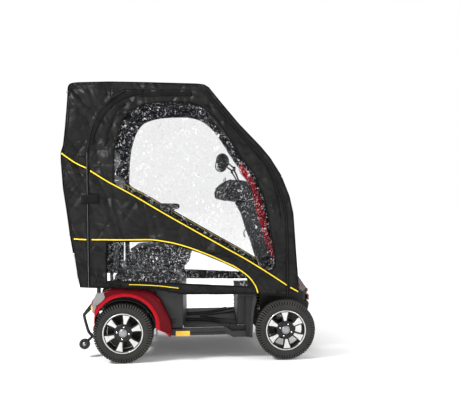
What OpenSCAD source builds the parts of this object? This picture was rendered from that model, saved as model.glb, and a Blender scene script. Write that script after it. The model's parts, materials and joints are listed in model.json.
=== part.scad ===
// Mobility scooter with a folding weather canopy.
// +X points forward, +Y to the rider's left and +Z up; the origin is on the ground under the
// middle of the scooter. Sizes are in millimetres.

/* [Wheels] */
// Distance between the front and rear axles
wheel_base = 964; // [956:2:970]
// Outer diameter of each road tyre
tyre_d = 355; // [350:1:356]
// Width of each road tyre
tyre_w = 90; // [84:1:91]
// Distance between the middles of the left and right tyres
track_w = 584; // [582:1:586]
// Number of spokes in each rim
spoke_count = 6; // [5:1:9]

/* [Canopy] */
// Outer width of the canopy, side panel to side panel
canopy_w = 624; // [622:1:630]
// Thickness of the canopy cloth
cloth_t = 3; // [2:0.5:3]
// Thickness of the clear window film
film_t = 1.5; // [1:0.1:2]
// Radius of the canopy frame tubes
hoop_r = 10; // [8:1:11]

/* [Steering] */
// Rearward lean of the steering axis, in degrees
steer_lean = 20; // [19:0.5:21]
// Radius of the steering shaft
shaft_r = 14; // [12:1:14]

/* [Seat] */
// Width of the seat cushion
seat_w = 450; // [430:5:450]
// Height of the top of the seat cushion
seat_top = 670; // [660:1:672]

/* [Hidden] */
$fn = 48;

black = "#1c1d1f";
cloth = "#141516";
metal_red = "#b01a22";
silver = "#c9ccd0";

rear_x = -390;
front_x = rear_x + wheel_base;
tyre_r = tyre_d / 2;
axle_z = tyre_r;
wheel_y = track_w / 2;
bead_r = 112;
fit = 0.05;
gap = 0.3;

// Frame rails and suspension pivots
rail_in = 62;
rail_out = 82;
rail_z = 158;
rail_h = 30;
upper_rail_z = 262;
upper_rail_h = 28;
pivot_z = 172;
pivot_r = 8;
rear_pivot_x = -180;
front_pivot_x = 380;
rear_damper = [-271, 205];
front_damper = [465, 120];
riser_x = -250;
upright_x = 405;

// Floor and body panels
deck_x = [-36, 290];
deck_w = 536;
deck_top = 196;
sill_y = 270;
side_y = 300;
wall = 3;

// Kingpins, steering linkage and steering axis
king_y = 235;
king_r = 8;
arm_len = 70;
stub_r = 10;
steer_base = [560, 0, 262];
tilt_at = 180;
tilt_pin_r = 6;
tilt_pin = steer_base + tilt_at * [-sin(steer_lean), 0, cos(steer_lean)];

// Seat
seat_x = -212;
post_r = 19;
pan_z = seat_top - 127;
fold_pin = [-440, 0, seat_top + 45];
arm_pin = [-440, 0, seat_top + 235];
back_w = 424;

// Canopy
skin_y = canopy_w / 2;
hinge_z = 1612;
hoop_y = skin_y - 27;
roof_line = [[-690, 1600], [-673, 1652], [-450, 1656], [-240, 1652], [60, 1643], [105, 1638],
    [132, 1620]];
slope_line = [[132, 1620], [200, 1535], [305, 1408], [435, 1271], [491, 1203], [557, 1096]];
front_line = [[540, 1078], [570, 1054], [604, 974], [626, 871], [634, 745], [641, 630],
    [651, 492], [656, 406]];
skirt_line = [[575, 372], [415, 388], [118, 393], [-41, 396], [-187, 427], [-368, 436],
    [-591, 446]];
rear_line = [[-636, 450], [-667, 605], [-692, 763], [-708, 900], [-727, 1035], [-737, 1190],
    [-737, 1246], [-723, 1285], [-710, 1391], [-697, 1525], [-690, 1600]];
side_outline = concat(rear_line, roof_line, slope_line, front_line, skirt_line);
door_outline = [[-588, 448], [-588, 1240], [-565, 1370], [-515, 1480], [-440, 1560],
    [-360, hinge_z - 5], [105, hinge_z - 5], [150, 1552], [300, 1364], [420, 1234], [478, 1158],
    [530, 1062], [565, 960], [584, 860], [588, 745], [588, 380], [415, 391], [118, 396],
    [-41, 399], [-187, 430], [-368, 439]];
upper_window = [[-434, 1057], [-434, 1100], [-426, 1257], [-404, 1362], [-371, 1447],
    [-320, 1503], [-204, 1536], [26, 1538], [132, 1480], [204, 1392], [310, 1214], [406, 1096],
    [464, 923], [498, 714], [520, 560], [484, 520], [343, 608], [99, 750], [-194, 922],
    [-338, 1010]];
lower_window = [[-477, 716], [-481, 486], [37, 459], [322, 442], [364, 438], [335, 520],
    [216, 580], [69, 644], [-79, 694], [-214, 716]];

// Fender
arch_c = [-375, 215];
arch_r = 179;
fender_line = [[-555, 290], [-556, 347], [-545, 388], [-522, 420], [-493, 435], [-350, 430],
    [-214, 420], [-180, 375], [-140, 297], [-100, 214], [-107, 157]];

function reversed(p) = [for (i = [len(p) - 1:-1:0]) p[i]];
// A closed strip: the line, and the line again moved by d.
function strip(p, d) = concat(p, reversed([for (q = p) q + d]));
// A closed shell: the line, and the line again shrunk towards c.
function shell(p, c, k) = concat(p, reversed([for (q = p) c + k * (q - c)]));
function arc(c, r, a0, a1, n) =
    [for (i = [0:n]) c + r * [cos(a0 + (a1 - a0) * i / n), sin(a0 + (a1 - a0) * i / n)]];

// The roof sheet's side view, a little thicker, cut from the sheets that meet it.
roof_cut = strip(roof_line, [0.7, -cloth_t - gap]);

module both_sides() {
    children();
    mirror([0, 1, 0]) children();
}

// A block between two corners.
module block(a, b) {
    translate(a) cube(b - a);
}

// A round bar between two points.
module bar(p, q, r) {
    d = q - p;
    length = norm(d);
    translate(p)
        rotate([0, acos(d[2] / length), atan2(d[1], d[0])])
            cylinder(r = r, h = length);
}

// A bent tube through a list of points.
module bent_tube(points, r) {
    for (i = [0:len(points) - 2]) bar(points[i], points[i + 1], r);
    for (p = points) translate(p) sphere(r = r * 1.03);
}

// A side-view outline given thickness across the scooter, from y0 to y1.
module across(points, y0, y1) {
    translate([0, y1, 0])
        rotate([90, 0, 0])
            linear_extrude(y1 - y0) polygon(points);
}

// A round pin or bore across the scooter, from y0 to y1.
module pin_y(x, z, r, y0, y1) {
    translate([x, y0, z]) rotate([-90, 0, 0]) cylinder(r = r, h = y1 - y0);
}

// Children drawn on the steering axis: local +Z runs up the shaft.
module on_steering_axis() {
    translate(steer_base) rotate([0, -steer_lean, 0]) children();
}

// ---- chassis ----

module rails() {
    both_sides() {
        block([riser_x, rail_in, rail_z], [upright_x + 20, rail_out, rail_z + rail_h]);
        block([riser_x, rail_in, rail_z], [riser_x + 25, rail_out, 408]);
        block([-560, rail_in, upper_rail_z],
            [riser_x + 5, rail_out, upper_rail_z + upper_rail_h]);
        block([upright_x, rail_in, rail_z], [upright_x + 20, rail_out, 400]);
        block([rear_damper[0] - 9, rail_in, 392], [riser_x + 5, rail_out, 408]);
        block([upright_x, rail_in, 384], [front_damper[0] + 6, rail_out, 400]);
    }
}

module cross_members() {
    block([-560, -rail_in - 1, upper_rail_z], [-540, rail_in + 1, upper_rail_z + 20]);
    block([-250, -rail_in - 1, 270], [-190, rail_in + 1, 282]);
    block([290, -rail_in - 1, rail_z], [310, rail_in + 1, rail_z + 20]);
    block([-130, -rail_in - 1, rail_z], [-110, rail_in + 1, rail_z + 20]);
    block([upright_x, -rail_in - 1, 330], [upright_x + 20, rail_in + 1, 395]);
    block([upright_x + 15, -8, 335], [524, 8, 372]);
    block([-225, -205, 190], [deck_x[0] - gap, 205, 196]);
    pin_y(rear_damper[0], 400, 8, -228, 228);
    pin_y(front_damper[0], 392, 8, -145, 145);
}

module chassis_frame() {
    color(black) {
        difference() {
            union() {
                rails();
                cross_members();
                translate([seat_x, 0, 270]) cylinder(r = 26, h = 150);
                on_steering_axis() translate([0, 0, 60]) cylinder(r = 22, h = 90);
            }
            translate([seat_x, 0, 269]) cylinder(r = post_r + fit, h = 160);
            on_steering_axis() translate([0, 0, 30]) cylinder(r = shaft_r + fit, h = 160);
        }
        pin_y(rear_pivot_x, pivot_z, pivot_r, -rail_out, rail_out);
        pin_y(front_pivot_x, pivot_z, pivot_r, -rail_out, rail_out);
    }
}

module floor_deck() {
    sill = [[-115, 150], [-115, 191], [226, 191], [254, 170], [338, 170], [338, 134],
        [262, 134], [232, 150]];
    color("#232427") {
        block([deck_x[0], -deck_w / 2, deck_top - 6], [deck_x[1], deck_w / 2, deck_top]);
        both_sides() across(sill, sill_y, side_y);
    }
}

module body_cover() {
    top = 430;
    color("#2b2c2f") difference() {
        union() {
            block([-205, -285, 198], [-37, 285, top]);
            block([-528, -234, 300], [-200, 234, top]);
            block([-462, -180, top - 1], [-60, 180, 504]);
        }
        block([-205 - 1, -282, 190], [-40, 282, top - wall]);
        block([-525, -231, 290], [-190, 231, top - wall]);
        block([-459, -177, top - wall - 1], [-63, 177, 504 - wall]);
        translate([seat_x, 0, 400]) cylinder(r = 32, h = 110);
    }
}

module batteries() {
    color("#303338") both_sides() {
        block([-183, 8, 198], [-53, 203, 368]);
        translate([-150, 60, 367]) cylinder(r = 8, h = 12);
        translate([-86, 60, 367]) cylinder(r = 8, h = 12);
    }
}

module rear_fenders() {
    lip = arc(arch_c, arch_r, -6, 163, 20);
    face = concat([[-554, 240]], fender_line, [[-136, 185], [-185, 192]], lip);
    liner = arc([rear_x, axle_z], 203, -4, 143, 18);
    color(metal_red) both_sides() difference() {
        union() {
            across(face, 341.5, 345);
            across(shell(fender_line, [rear_x, axle_z], 0.983), 238, 341.6);
            across(concat(liner, reversed(arc([rear_x, axle_z], 199.5, -4, 143, 18))),
                238, 341.6);
        }
        block([-206, 0, 100], [0, side_y + 1, 460]);
    }
}

module tail_lights() {
    color("#e8e2dc") both_sides() {
        block([-568, 262, 318], [-557, 338, 392]);
    }
}

module rear_bumper() {
    y = 176;
    loop = [[-572, 72, 276], [-590, y, 330], [-649, y, 261], [-622, y, 156], [-594, y, 131]];
    color(black) {
        both_sides() {
            bent_tube(loop, 9);
            bar([-594, y, 131], [-643, y, 86], 8);
            pin_y(-643, 86, 5, y, 212);
        }
        bar([-649, -y, 261], [-649, y, 261], 9);
    }
}

module footwell_panel() {
    flange = [[340, 134], [374, 133], [366, 180], [368, 240], [380, 310], [402, 381], [340, 381]];
    color("#2f3033") {
        block([292, -250, 197], [295, 250, 381]);
        block([292, -side_y, 378], [402, side_y, 381]);
        both_sides() {
            block([292, 247, 197], [343, 250, 381]);
            block([340, 247, 134], [343, side_y, 381]);
            across(flange, side_y - wall, side_y);
        }
    }
}

module nose_cowl() {
    outer = [[604, 236], [604, 560], [680, 560], [680, 478], [735, 402], [755, 382], [755, 332],
        [747, 294], [734, 250], [715, 232], [660, 228]];
    inner = [[607, 220], [607, 557], [677, 557], [677, 477], [732, 400], [752, 380], [752, 332],
        [744, 294], [731, 251], [713, 236], [660, 220]];
    color(black) {
        difference() {
            across(outer, -150, 150);
            across(inner, -147, 147);
        }
        both_sides() block([432, 147, 236], [604, 150, 382]);
    }
}

module headlights() {
    color("#e6edf2") both_sides() {
        translate([755.3 - 8, 95, 352]) rotate([0, -90, 0]) cylinder(r = 26, h = 6);
    }
}

// ---- suspension ----

// One telescopic damper's upper body, with its top seat. Its bore is open below.
module damper_body(at, top) {
    translate([at[0], at[1], 0]) difference() {
        union() {
            translate([0, 0, top - 102]) cylinder(r = 13.5, h = 102);
            translate([0, 0, top - 8]) cylinder(r = 21, h = 8);
        }
        translate([0, 0, top - 103]) cylinder(r = 11, h = 90);
    }
}

module dampers() {
    color("#3a3c40") both_sides() {
        damper_body(rear_damper, 391.5);
        damper_body(front_damper, 383.5);
    }
}

// A coil spring's envelope: a sleeve with a rib for each coil.
module spring_sleeve(at, z0, z1) {
    coils = 8;
    pitch = (z1 - z0) / coils;
    ribs = [for (i = [0:coils - 1]) each
        [[18.2, z0 + i * pitch], [21, z0 + (i + 0.5) * pitch]]];
    translate([at[0], at[1], 0])
        rotate_extrude() polygon(concat([[15.5, z0]], ribs, [[18.2, z1], [15.5, z1]]));
}

module rear_springs() {
    color("#8d9095") both_sides() spring_sleeve(rear_damper, 203, 383);
}

module front_springs() {
    color("#c8962d") both_sides() spring_sleeve(front_damper, 203, 375);
}

module damper_rod(at) {
    translate([at[0], at[1], 190]) cylinder(r = 4, h = 112);
    translate([at[0], at[1], 190]) cylinder(r = 21, h = 12.5);
}

module rear_swing_arm() {
    color(black) difference() {
        union() {
            pin_y(rear_pivot_x, pivot_z, 15, -60, 60);
            both_sides() {
                block([rear_x, 40, 160], [rear_pivot_x, 57, 184]);
                pin_y(rear_x, axle_z, 32, 46, 57);
                damper_rod(rear_damper);
            }
            block([-282, -224, 180], [-260, 224, 196]);
        }
        pin_y(rear_pivot_x, pivot_z, pivot_r + fit, -61, 61);
        pin_y(rear_x, axle_z, 20 + fit, 45, 58);
        pin_y(rear_x, axle_z, 20 + fit, -58, -45);
        pin_y(rear_x, axle_z, 53, -45.5, 45.5);
    }
}

module drive_unit() {
    color("#6d7076") {
        pin_y(rear_x, axle_z, 52, -44, 44);
        pin_y(rear_x, axle_z, 20, -255, 255);
        pin_y(rear_x, axle_z, stub_r, -322, 322);
        translate([rear_x - 40, 0, 186]) rotate([0, -90, 0]) cylinder(r = 40, h = 110);
    }
}

module front_axle() {
    color(black) difference() {
        union() {
            pin_y(front_pivot_x, pivot_z, 15, -60, 60);
            both_sides() {
                block([front_pivot_x, 30, 160], [front_x, 50, 184]);
                block([front_x - 14, 196, 140], [front_x + 14, 208, 215]);
                block([front_x - 14, 196, 140], [front_x + 14, 250, 148]);
                block([front_x - 14, 196, 207], [front_x + 14, 250, 215]);
                translate([front_x, king_y, 140]) cylinder(r = king_r, h = 75);
                damper_rod(front_damper);
            }
            block([front_x - 14, -200, 162], [front_x + 14, 200, 192]);
            block([front_damper[0] - 10, -142, 180], [front_damper[0] + 10, 142, 196]);
        }
        pin_y(front_pivot_x, pivot_z, pivot_r + fit, -61, 61);
    }
}

// The left knuckle: kingpin sleeve, stub axle and a rearward steering arm.
module knuckle() {
    difference() {
        union() {
            translate([front_x, king_y, 150]) cylinder(r = 14, h = 55);
            translate([front_x - arm_len, king_y, 192]) cylinder(r = 11, h = 9);
            block([front_x - arm_len, king_y - 9, 192], [front_x, king_y + 9, 201]);
            pin_y(front_x, axle_z, stub_r, king_y, 322);
            pin_y(front_x, axle_z, 14, king_y, 254);
        }
        translate([front_x, king_y, 140]) cylinder(r = king_r + fit, h = 80);
        translate([front_x - arm_len, king_y, 190]) cylinder(r = 5 + fit, h = 14);
    }
}

module knuckle_left() {
    color(black) knuckle();
}

module knuckle_right() {
    color(black) mirror([0, 1, 0]) knuckle();
}

module tie_rod() {
    x = front_x - arm_len;
    color("#4a4c50") difference() {
        union() {
            pin_y(x, 208, 5, -king_y, king_y);
            both_sides() {
                translate([x, king_y, 192]) cylinder(r = 5, h = 16);
                translate([x, king_y, 203]) cylinder(r = 9, h = 10);
            }
            block([x - 22, -22, 204], [x + 22, 22, 212]);
        }
        block([x - 14, -14, 200], [x + 14, 14, 216]);
    }
}

// ---- wheels, drawn about the Y axis with +Y outward ----

module tyre() {
    half = tyre_w / 2;
    profile = [[bead_r + gap, -37], [119, -37.5], [128, -half + 3], [144, -half],
        [160, -half + 1], [169, -half + 5], [174.5, -half + 12], [tyre_r, -half + 30],
        [tyre_r, half - 30], [174.5, half - 12], [169, half - 5], [160, half - 1],
        [144, half], [128, half - 3], [119, 37.5], [bead_r + gap, 37]];
    rotate([-90, 0, 0]) rotate_extrude($fn = 72) polygon(profile);
}

module spoke_2d() {
    polygon([[24, -9], [60, -8], [106, -17], [106, 17], [60, 8], [24, 9]]);
}

module rim() {
    barrel = [[104, -42], [117.5, -42], [118, -38.2], [bead_r, -37.5], [bead_r, 37.5],
        [118, 38.2], [117.5, 42], [104, 42]];
    difference() {
        union() {
            rotate([-90, 0, 0]) rotate_extrude($fn = 72) polygon(barrel);
            translate([0, 20, 0]) rotate([-90, 0, 0]) linear_extrude(12)
                for (i = [0:spoke_count - 1]) rotate(90 + i * 360 / spoke_count) spoke_2d();
            pin_y(0, 0, 34, 18, 33);
            pin_y(0, 0, 24, -30, 38);
        }
        pin_y(0, 0, stub_r + fit, -31, 31);
    }
}

// Puts a wheel part on the axle at x; side is 1 on the left and -1 on the right.
module at_wheel(x, side) {
    translate([x, side * wheel_y, axle_z])
        mirror([0, side < 0 ? 1 : 0, 0]) children();
}

module rear_right_tyre() { color("#191a1b") at_wheel(rear_x, -1) tyre(); }
module rear_left_tyre() { color("#191a1b") at_wheel(rear_x, 1) tyre(); }
module front_right_tyre() { color("#191a1b") at_wheel(front_x, -1) tyre(); }
module front_left_tyre() { color("#191a1b") at_wheel(front_x, 1) tyre(); }
module rear_right_rim() { color(silver) at_wheel(rear_x, -1) rim(); }
module rear_left_rim() { color(silver) at_wheel(rear_x, 1) rim(); }
module front_right_rim() { color(silver) at_wheel(front_x, -1) rim(); }
module front_left_rim() { color(silver) at_wheel(front_x, 1) rim(); }

module anti_tip_wheel() {
    translate([-643, 197, 86]) rotate([-90, 0, 0]) difference() {
        union() {
            translate([0, 0, -11]) cylinder(r = 30, h = 22);
            translate([0, 0, -8]) cylinder(r = 32, h = 16);
        }
        translate([0, 0, -12]) cylinder(r = 5 + fit, h = 24);
    }
}

module anti_tip_wheel_left() { color("#202124") anti_tip_wheel(); }
module anti_tip_wheel_right() { color("#202124") mirror([0, 1, 0]) anti_tip_wheel(); }

// ---- steering and tiller ----

module steering_column() {
    color("#3a3c40") {
        union() {
            on_steering_axis() {
                translate([0, 0, -8]) cylinder(r = shaft_r, h = 166);
                translate([0, 0, 152]) cylinder(r = 28, h = 10);
                for (s = [-1, 1])
                    translate([-14, s * 25.5 - 3.5, 152]) cube([28, 7, 42]);
                translate([-66, -9, -8]) cube([66, 18, 9]);
            }
            translate([front_x - arm_len - 6, 0, 198]) cylinder(r = 5, h = 42);
            pin_y(tilt_pin[0], tilt_pin[2], tilt_pin_r, -29, 29);
        }
    }
}

// A point on the tiller's centre line, so far up from its hinge.
tiller_dir = [-0.2786, 0, 0.9604];
function on_tiller(s) = tilt_pin + s * tiller_dir;

module tiller_stem() {
    shroud = [[292, 939], [333, 864], [359, 773], [395, 677], [426, 570], [522.5, 584],
        [491.5, 665], [460.5, 772], [428.5, 879], [413, 959]];
    hook = [on_tiller(345) + [-22, 0, 0], on_tiller(330) + [-50, 0, 0],
        on_tiller(290) + [-46, 0, 0]];
    color("#26272a") difference() {
        union() {
            pin_y(tilt_pin[0], tilt_pin[2], 17, -21.5, 21.5);
            bar(tilt_pin, on_tiller(120), 15);
            bar(on_tiller(70), on_tiller(528), 21);
            across(shroud, -50, 50);
            bent_tube(hook, 4);
        }
        pin_y(tilt_pin[0], tilt_pin[2], tilt_pin_r + fit, -22, 22);
    }
}

module tiller_cowl() {
    outline = [[523, 584], [553, 570], [545, 621], [514, 728], [494, 835], [470, 942],
        [452, 990], [431, 1046], [399, 1100], [337, 1188], [316, 1183], [331, 1130], [378, 1071],
        [409, 991], [414, 959], [429, 879], [461, 772], [492, 665]];
    color(metal_red) across(outline, -55, 55);
}

module console() {
    outline = [[165, 962], [290, 941], [411, 961], [406, 991], [375, 1069], [350, 1078],
        [272, 1083], [197, 1047], [160, 1008]];
    color(black) difference() {
        union() {
            across(outline, -72.5, 72.5);
            both_sides() {
                block([280, 70, 1002], [300, 108, 1008]);
                translate([290, 98, 1006]) cylinder(r = 4, h = 22);
            }
        }
        translate([230, -30, 1060]) cylinder(r = 6 + fit, h = 60);
        translate([230, 30, 1060]) cylinder(r = 8 + fit, h = 60);
    }
}

module key_switch() {
    color(silver) {
        translate([230, -30, 1062]) cylinder(r = 6, h = 36);
        block([228, -42, 1094], [232, -18, 1116]);
    }
}

module horn_button() {
    color("#c8a022") translate([230, 30, 1066]) cylinder(r = 8, h = 24);
}

module handlebar() {
    loop = [[318, 82, 1052], [262, 215, 1062], [176, 238, 996], [216, 215, 958],
        [318, 82, 966]];
    stalk = [[318, 84, 1072], [284, 160, 1140]];
    color(black) both_sides() {
        bent_tube(loop, 9);
        bent_tube(stalk, 5);
        translate([284, 160, 1136]) cylinder(r = 9, h = 9);
        translate([284, 160, 1140]) cylinder(r = 4, h = 22);
    }
}

module grips() {
    color("#2a2b2d") both_sides() difference() {
        bar([248.8, 218.5, 1051.9], [189.2, 234.5, 1006.1], 16);
        bar([262, 215, 1062], [176, 238, 996], 9 + fit);
    }
}

// A thumb paddle on a vertical pin beside the console, drawn on the left.
module paddle(reach) {
    difference() {
        union() {
            translate([290, 98, 1009]) cylinder(r = 9, h = 12);
            translate([290, 98, 1010]) rotate(128) translate([0, -6, 0]) cube([reach, 12, 10]);
        }
        translate([290, 98, 1000]) cylinder(r = 4 + fit, h = 40);
    }
}

module throttle_lever() { color("#3a3c40") mirror([0, 1, 0]) paddle(70); }
module brake_lever() { color("#3a3c40") paddle(82); }

// The left rear-view mirror, turned a little in from square.
module mirror_head() {
    difference() {
        union() {
            translate([284, 160, 1146]) cylinder(r = 9, h = 14);
            bar([278, 162, 1153], [214, 212, 1188], 5);
            translate([209, 215, 1192]) rotate([0, 0, 50]) {
                translate([-3, 0, 0]) rotate([0, 90, 0]) cylinder(r = 49, h = 16);
                block([-3, -20, -49], [13, 20, 49]);
            }
        }
        translate([284, 160, 1140]) cylinder(r = 4 + fit, h = 24);
    }
}

module mirror_left() { color(black) mirror_head(); }
module mirror_right() { color(black) mirror([0, 1, 0]) mirror_head(); }

// ---- seat ----

module seat_post() {
    color("#55585d") {
        translate([seat_x, 0, 300]) cylinder(r = post_r, h = pan_z - 28 - 300);
        translate([seat_x, 0, pan_z - 36]) cylinder(r = 45, h = 8);
        translate([seat_x, 0, pan_z - 30]) cylinder(r = 15, h = 20);
    }
}

module seat_base() {
    z = pan_z - 28 + gap;
    color(black) difference() {
        union() {
            block([-362, -150, z], [-62, 150, z + 8]);
            both_sides() block([-362, 130, z], [-62, 150, z + 27]);
        }
        translate([seat_x, 0, z - 1]) cylinder(r = 15 + fit, h = 30);
    }
}

module seat_pan() {
    color(black) {
        block([-455, -200, pan_z], [-30, 200, pan_z + 6]);
        block([-455, -237, pan_z], [-425, 237, pan_z + 6]);
        both_sides() {
            block([-390, 151, pan_z - 14], [-30, 158, pan_z + 1]);
            block([-455, 229, pan_z], [-425, 237, arm_pin[2] + 12]);
            pin_y(fold_pin[0], fold_pin[2], 6, 203, 230);
            pin_y(arm_pin[0], arm_pin[2], 6, 230, 264);
        }
    }
}

module seat_cushion() {
    outline = [[-400, pan_z + 7], [-6, pan_z + 7], [20, 600], [31, 641], [14, seat_top - 8],
        [-30, seat_top], [-300, seat_top], [-390, seat_top - 8]];
    color("#1b1c1e") across(outline, -seat_w / 2, seat_w / 2);
}

module backrest() {
    z = fold_pin[2];
    outline = [[-414, z - 22], [-466, z - 22], [-482, z + 60], [-520, z + 405], [-500, z + 430],
        [-470, z + 428], [-446, z + 400], [-412, z + 60]];
    color("#1b1c1e") difference() {
        across(outline, -back_w / 2, back_w / 2);
        both_sides() pin_y(fold_pin[0], z, 6 + fit, 202.5, back_w / 2 + 1);
        both_sides() translate([-488, 55, z + 330]) cylinder(r = 6 + fit, h = 120);
    }
}

module headrest() {
    z = fold_pin[2];
    color("#1b1c1e") {
        block([-512, -130, z + 450], [-455, 130, z + 570]);
        both_sides() translate([-488, 55, z + 340]) cylinder(r = 6, h = 112);
    }
}

module armrest() {
    z = arm_pin[2];
    difference() {
        union() {
            block([-418, 216, z - 15], [-75, 268, z + 30]);
            block([-440, 240, z - 13], [-410, 262, z + 13]);
            pin_y(arm_pin[0], z, 13, 240, 262);
        }
        pin_y(arm_pin[0], z, 6 + fit, 239, 263);
    }
}

module armrest_left() { color("#1b1c1e") armrest(); }
module armrest_right() { color("#1b1c1e") mirror([0, 1, 0]) armrest(); }

// ---- canopy ----

module canopy_frame() {
    y = hoop_y;
    side = [[-548, y, 470], [-615, y, 530], [-712, y, 1230], [-666, y, 1618], [108, y, 1600],
        [512, y, 1078], [575, y, 968], [612, y, 640], [622, y, 440]];
    color("#2d2f33") {
        both_sides() {
            bent_tube(side, hoop_r);
            block([-558, rail_in, 290 + gap], [-538, rail_out, 462]);
        }
        for (i = [0, 2, 3, 4, 5, 7])
            bar([side[i][0], -y, side[i][2]], [side[i][0], y, side[i][2]], hoop_r);
    }
}

module canopy_roof() {
    edge = skin_y - cloth_t - gap;
    color(cloth) across(strip(roof_line, [0.5, -cloth_t]), -edge, edge);
}

module canopy_back() {
    edge = skin_y - cloth_t - gap;
    rain_flap = [[-736, 1252], [-755, 1176], [-752, 1174], [-735.5, 1240]];
    color(cloth) difference() {
        across(strip(rear_line, [cloth_t, 0]), -edge, edge);
        block([-760, -210, 760], [-600, 210, 1160]);
        block([-760, -skin_y, 1596.8], [-600, skin_y, 1700]);
    }
    color(cloth) across(rain_flap, -226, 226);
}

module rear_window() {
    shifted = [for (p = rear_line) p + [cloth_t + gap, 0]];
    color("#dfe6ea", 0.4) intersection() {
        across(strip(shifted, [film_t, 0]), -218, 218);
        block([-760, -218, 752], [-600, 218, 1168]);
    }
}

module canopy_sides() {
    cuts = [[-800, -450], [-449.6, 200], [200.4, 800]];
    color(cloth) both_sides() {
        bar([-362, skin_y, hinge_z], [107, skin_y, hinge_z], 3);
        block([-378, skin_y - 3, hinge_z - 3], [-361, skin_y + 3, hinge_z + 3]);
        block([106, skin_y - 3, hinge_z - 3], [122, skin_y + 3, hinge_z + 3]);
        for (c = cuts)
            translate([0, skin_y, 0]) rotate([90, 0, 0]) linear_extrude(cloth_t)
                difference() {
                    intersection() {
                        polygon(side_outline);
                        translate([c[0], 0]) square([c[1] - c[0], 2000]);
                    }
                    polygon(door_outline);
                    translate([-368, hinge_z - 7]) square([481, 14]);
                }
    }
}

module canopy_front() {
    edge = skin_y - cloth_t - gap;
    color(cloth) {
        difference() {
            across(strip(slope_line, [-cloth_t, -1]), -edge, edge);
            block([165, -250, 1130], [600, 250, 1577]);
            across(roof_cut, -skin_y, skin_y);
        }
        difference() {
            across(strip(front_line, [-cloth_t, -1]), -edge, edge);
            block([600, -156, 380], [700, 156, 566]);
        }
    }
}

module windscreen() {
    shifted = [for (p = slope_line) p + [-cloth_t - gap - 1, -2]];
    color("#dfe6ea", 0.4) intersection() {
        across(strip(shifted, [-film_t, -1]), -258, 258);
        block([155, -258, 1120], [600, 258, 1586]);
    }
}

module door() {
    translate([0, skin_y, 0]) {
        rotate([90, 0, 0]) linear_extrude(cloth_t) difference() {
            polygon(door_outline);
            polygon(upper_window);
            polygon(lower_window);
        }
        difference() {
            bar([-360, 0, hinge_z], [105, 0, hinge_z], 5.5);
            bar([-361, 0, hinge_z], [106, 0, hinge_z], 3 + fit);
        }
    }
}

module door_windows() {
    grow = 1.02;
    y = skin_y - cloth_t - gap - film_t;
    translate([0, y + film_t, 0]) rotate([90, 0, 0]) linear_extrude(film_t) {
        translate([30, 1000]) scale(grow) translate([-30, -1000]) polygon(upper_window);
    }
    translate([0, y - film_t - gap, 0]) rotate([90, 0, 0]) linear_extrude(film_t) {
        translate([-60, 570]) scale(grow) translate([60, -570]) polygon(lower_window);
    }
}

module door_left() { color(cloth) door(); }
module door_right() { color(cloth) mirror([0, 1, 0]) door(); }
module door_windows_left() { color("#dfe6ea", 0.4) door_windows(); }
module door_windows_right() { color("#dfe6ea", 0.4) mirror([0, 1, 0]) door_windows(); }

chassis_frame();
floor_deck();
body_cover();
batteries();
rear_fenders();
tail_lights();
rear_bumper();
footwell_panel();
nose_cowl();
headlights();
dampers();
rear_springs();
front_springs();
canopy_frame();
canopy_roof();
canopy_back();
canopy_sides();
canopy_front();
windscreen();
rear_window();
rear_swing_arm();
drive_unit();
rear_right_tyre();
rear_left_tyre();
front_right_tyre();
front_left_tyre();
rear_right_rim();
rear_left_rim();
front_right_rim();
front_left_rim();
front_axle();
knuckle_right();
knuckle_left();
tie_rod();
steering_column();
tiller_stem();
tiller_cowl();
console();
handlebar();
grips();
throttle_lever();
brake_lever();
mirror_right();
mirror_left();
key_switch();
horn_button();
seat_post();
seat_base();
seat_pan();
seat_cushion();
backrest();
headrest();
armrest_right();
armrest_left();
door_right();
door_left();
door_windows_right();
door_windows_left();
anti_tip_wheel_right();
anti_tip_wheel_left();
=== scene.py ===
import json
import math

import bmesh
import bpy
import numpy as np
from mathutils import Matrix, Vector
from mathutils.geometry import delaunay_2d_cdt


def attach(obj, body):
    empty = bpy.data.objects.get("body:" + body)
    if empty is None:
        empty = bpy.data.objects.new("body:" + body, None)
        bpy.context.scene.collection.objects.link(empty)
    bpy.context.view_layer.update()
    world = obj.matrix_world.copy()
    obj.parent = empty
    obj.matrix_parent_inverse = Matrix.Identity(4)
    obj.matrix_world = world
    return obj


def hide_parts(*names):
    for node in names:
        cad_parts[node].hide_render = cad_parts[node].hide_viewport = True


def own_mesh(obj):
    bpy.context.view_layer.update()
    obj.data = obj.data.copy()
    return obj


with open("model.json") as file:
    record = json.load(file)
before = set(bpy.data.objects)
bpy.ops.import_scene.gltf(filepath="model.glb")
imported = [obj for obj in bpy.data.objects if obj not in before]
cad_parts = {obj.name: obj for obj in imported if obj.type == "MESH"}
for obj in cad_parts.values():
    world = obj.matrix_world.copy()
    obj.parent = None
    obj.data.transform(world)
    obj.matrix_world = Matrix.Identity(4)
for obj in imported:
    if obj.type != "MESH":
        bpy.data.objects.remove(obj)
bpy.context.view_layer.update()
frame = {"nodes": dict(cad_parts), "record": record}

# All lengths below are in millimetres in the model's frame; MM turns them into metres.
MM = 0.001
SIDES = (("right", -1), ("left", 1))
ORIGIN = (0, 0, 0)
REAR_AXLE = (-390.0, 177.5)
FRONT_AXLE = (574.0, 177.5)
WHEEL_Y = 292.0
SKIN_Y = 312.0


# ---------------------------------------------------------------- small helpers

def grid_faces(rows, cols, around=False, closed=False):
    """Quads between rows of points; around closes each row, closed joins the last to the first."""
    faces = []
    for i in range(rows if closed else rows - 1):
        j = (i + 1) % rows
        for k in range(cols if around else cols - 1):
            m = (k + 1) % cols
            faces.append((i * cols + k, i * cols + m, j * cols + m, j * cols + k))
    return faces


def prism_faces(n):
    """Faces of a solid between two outlines of n points each."""
    return ([tuple(range(n)), tuple(range(2 * n - 1, n - 1, -1))]
            + [(i, (i + 1) % n, n + (i + 1) % n, n + i) for i in range(n)])


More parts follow.
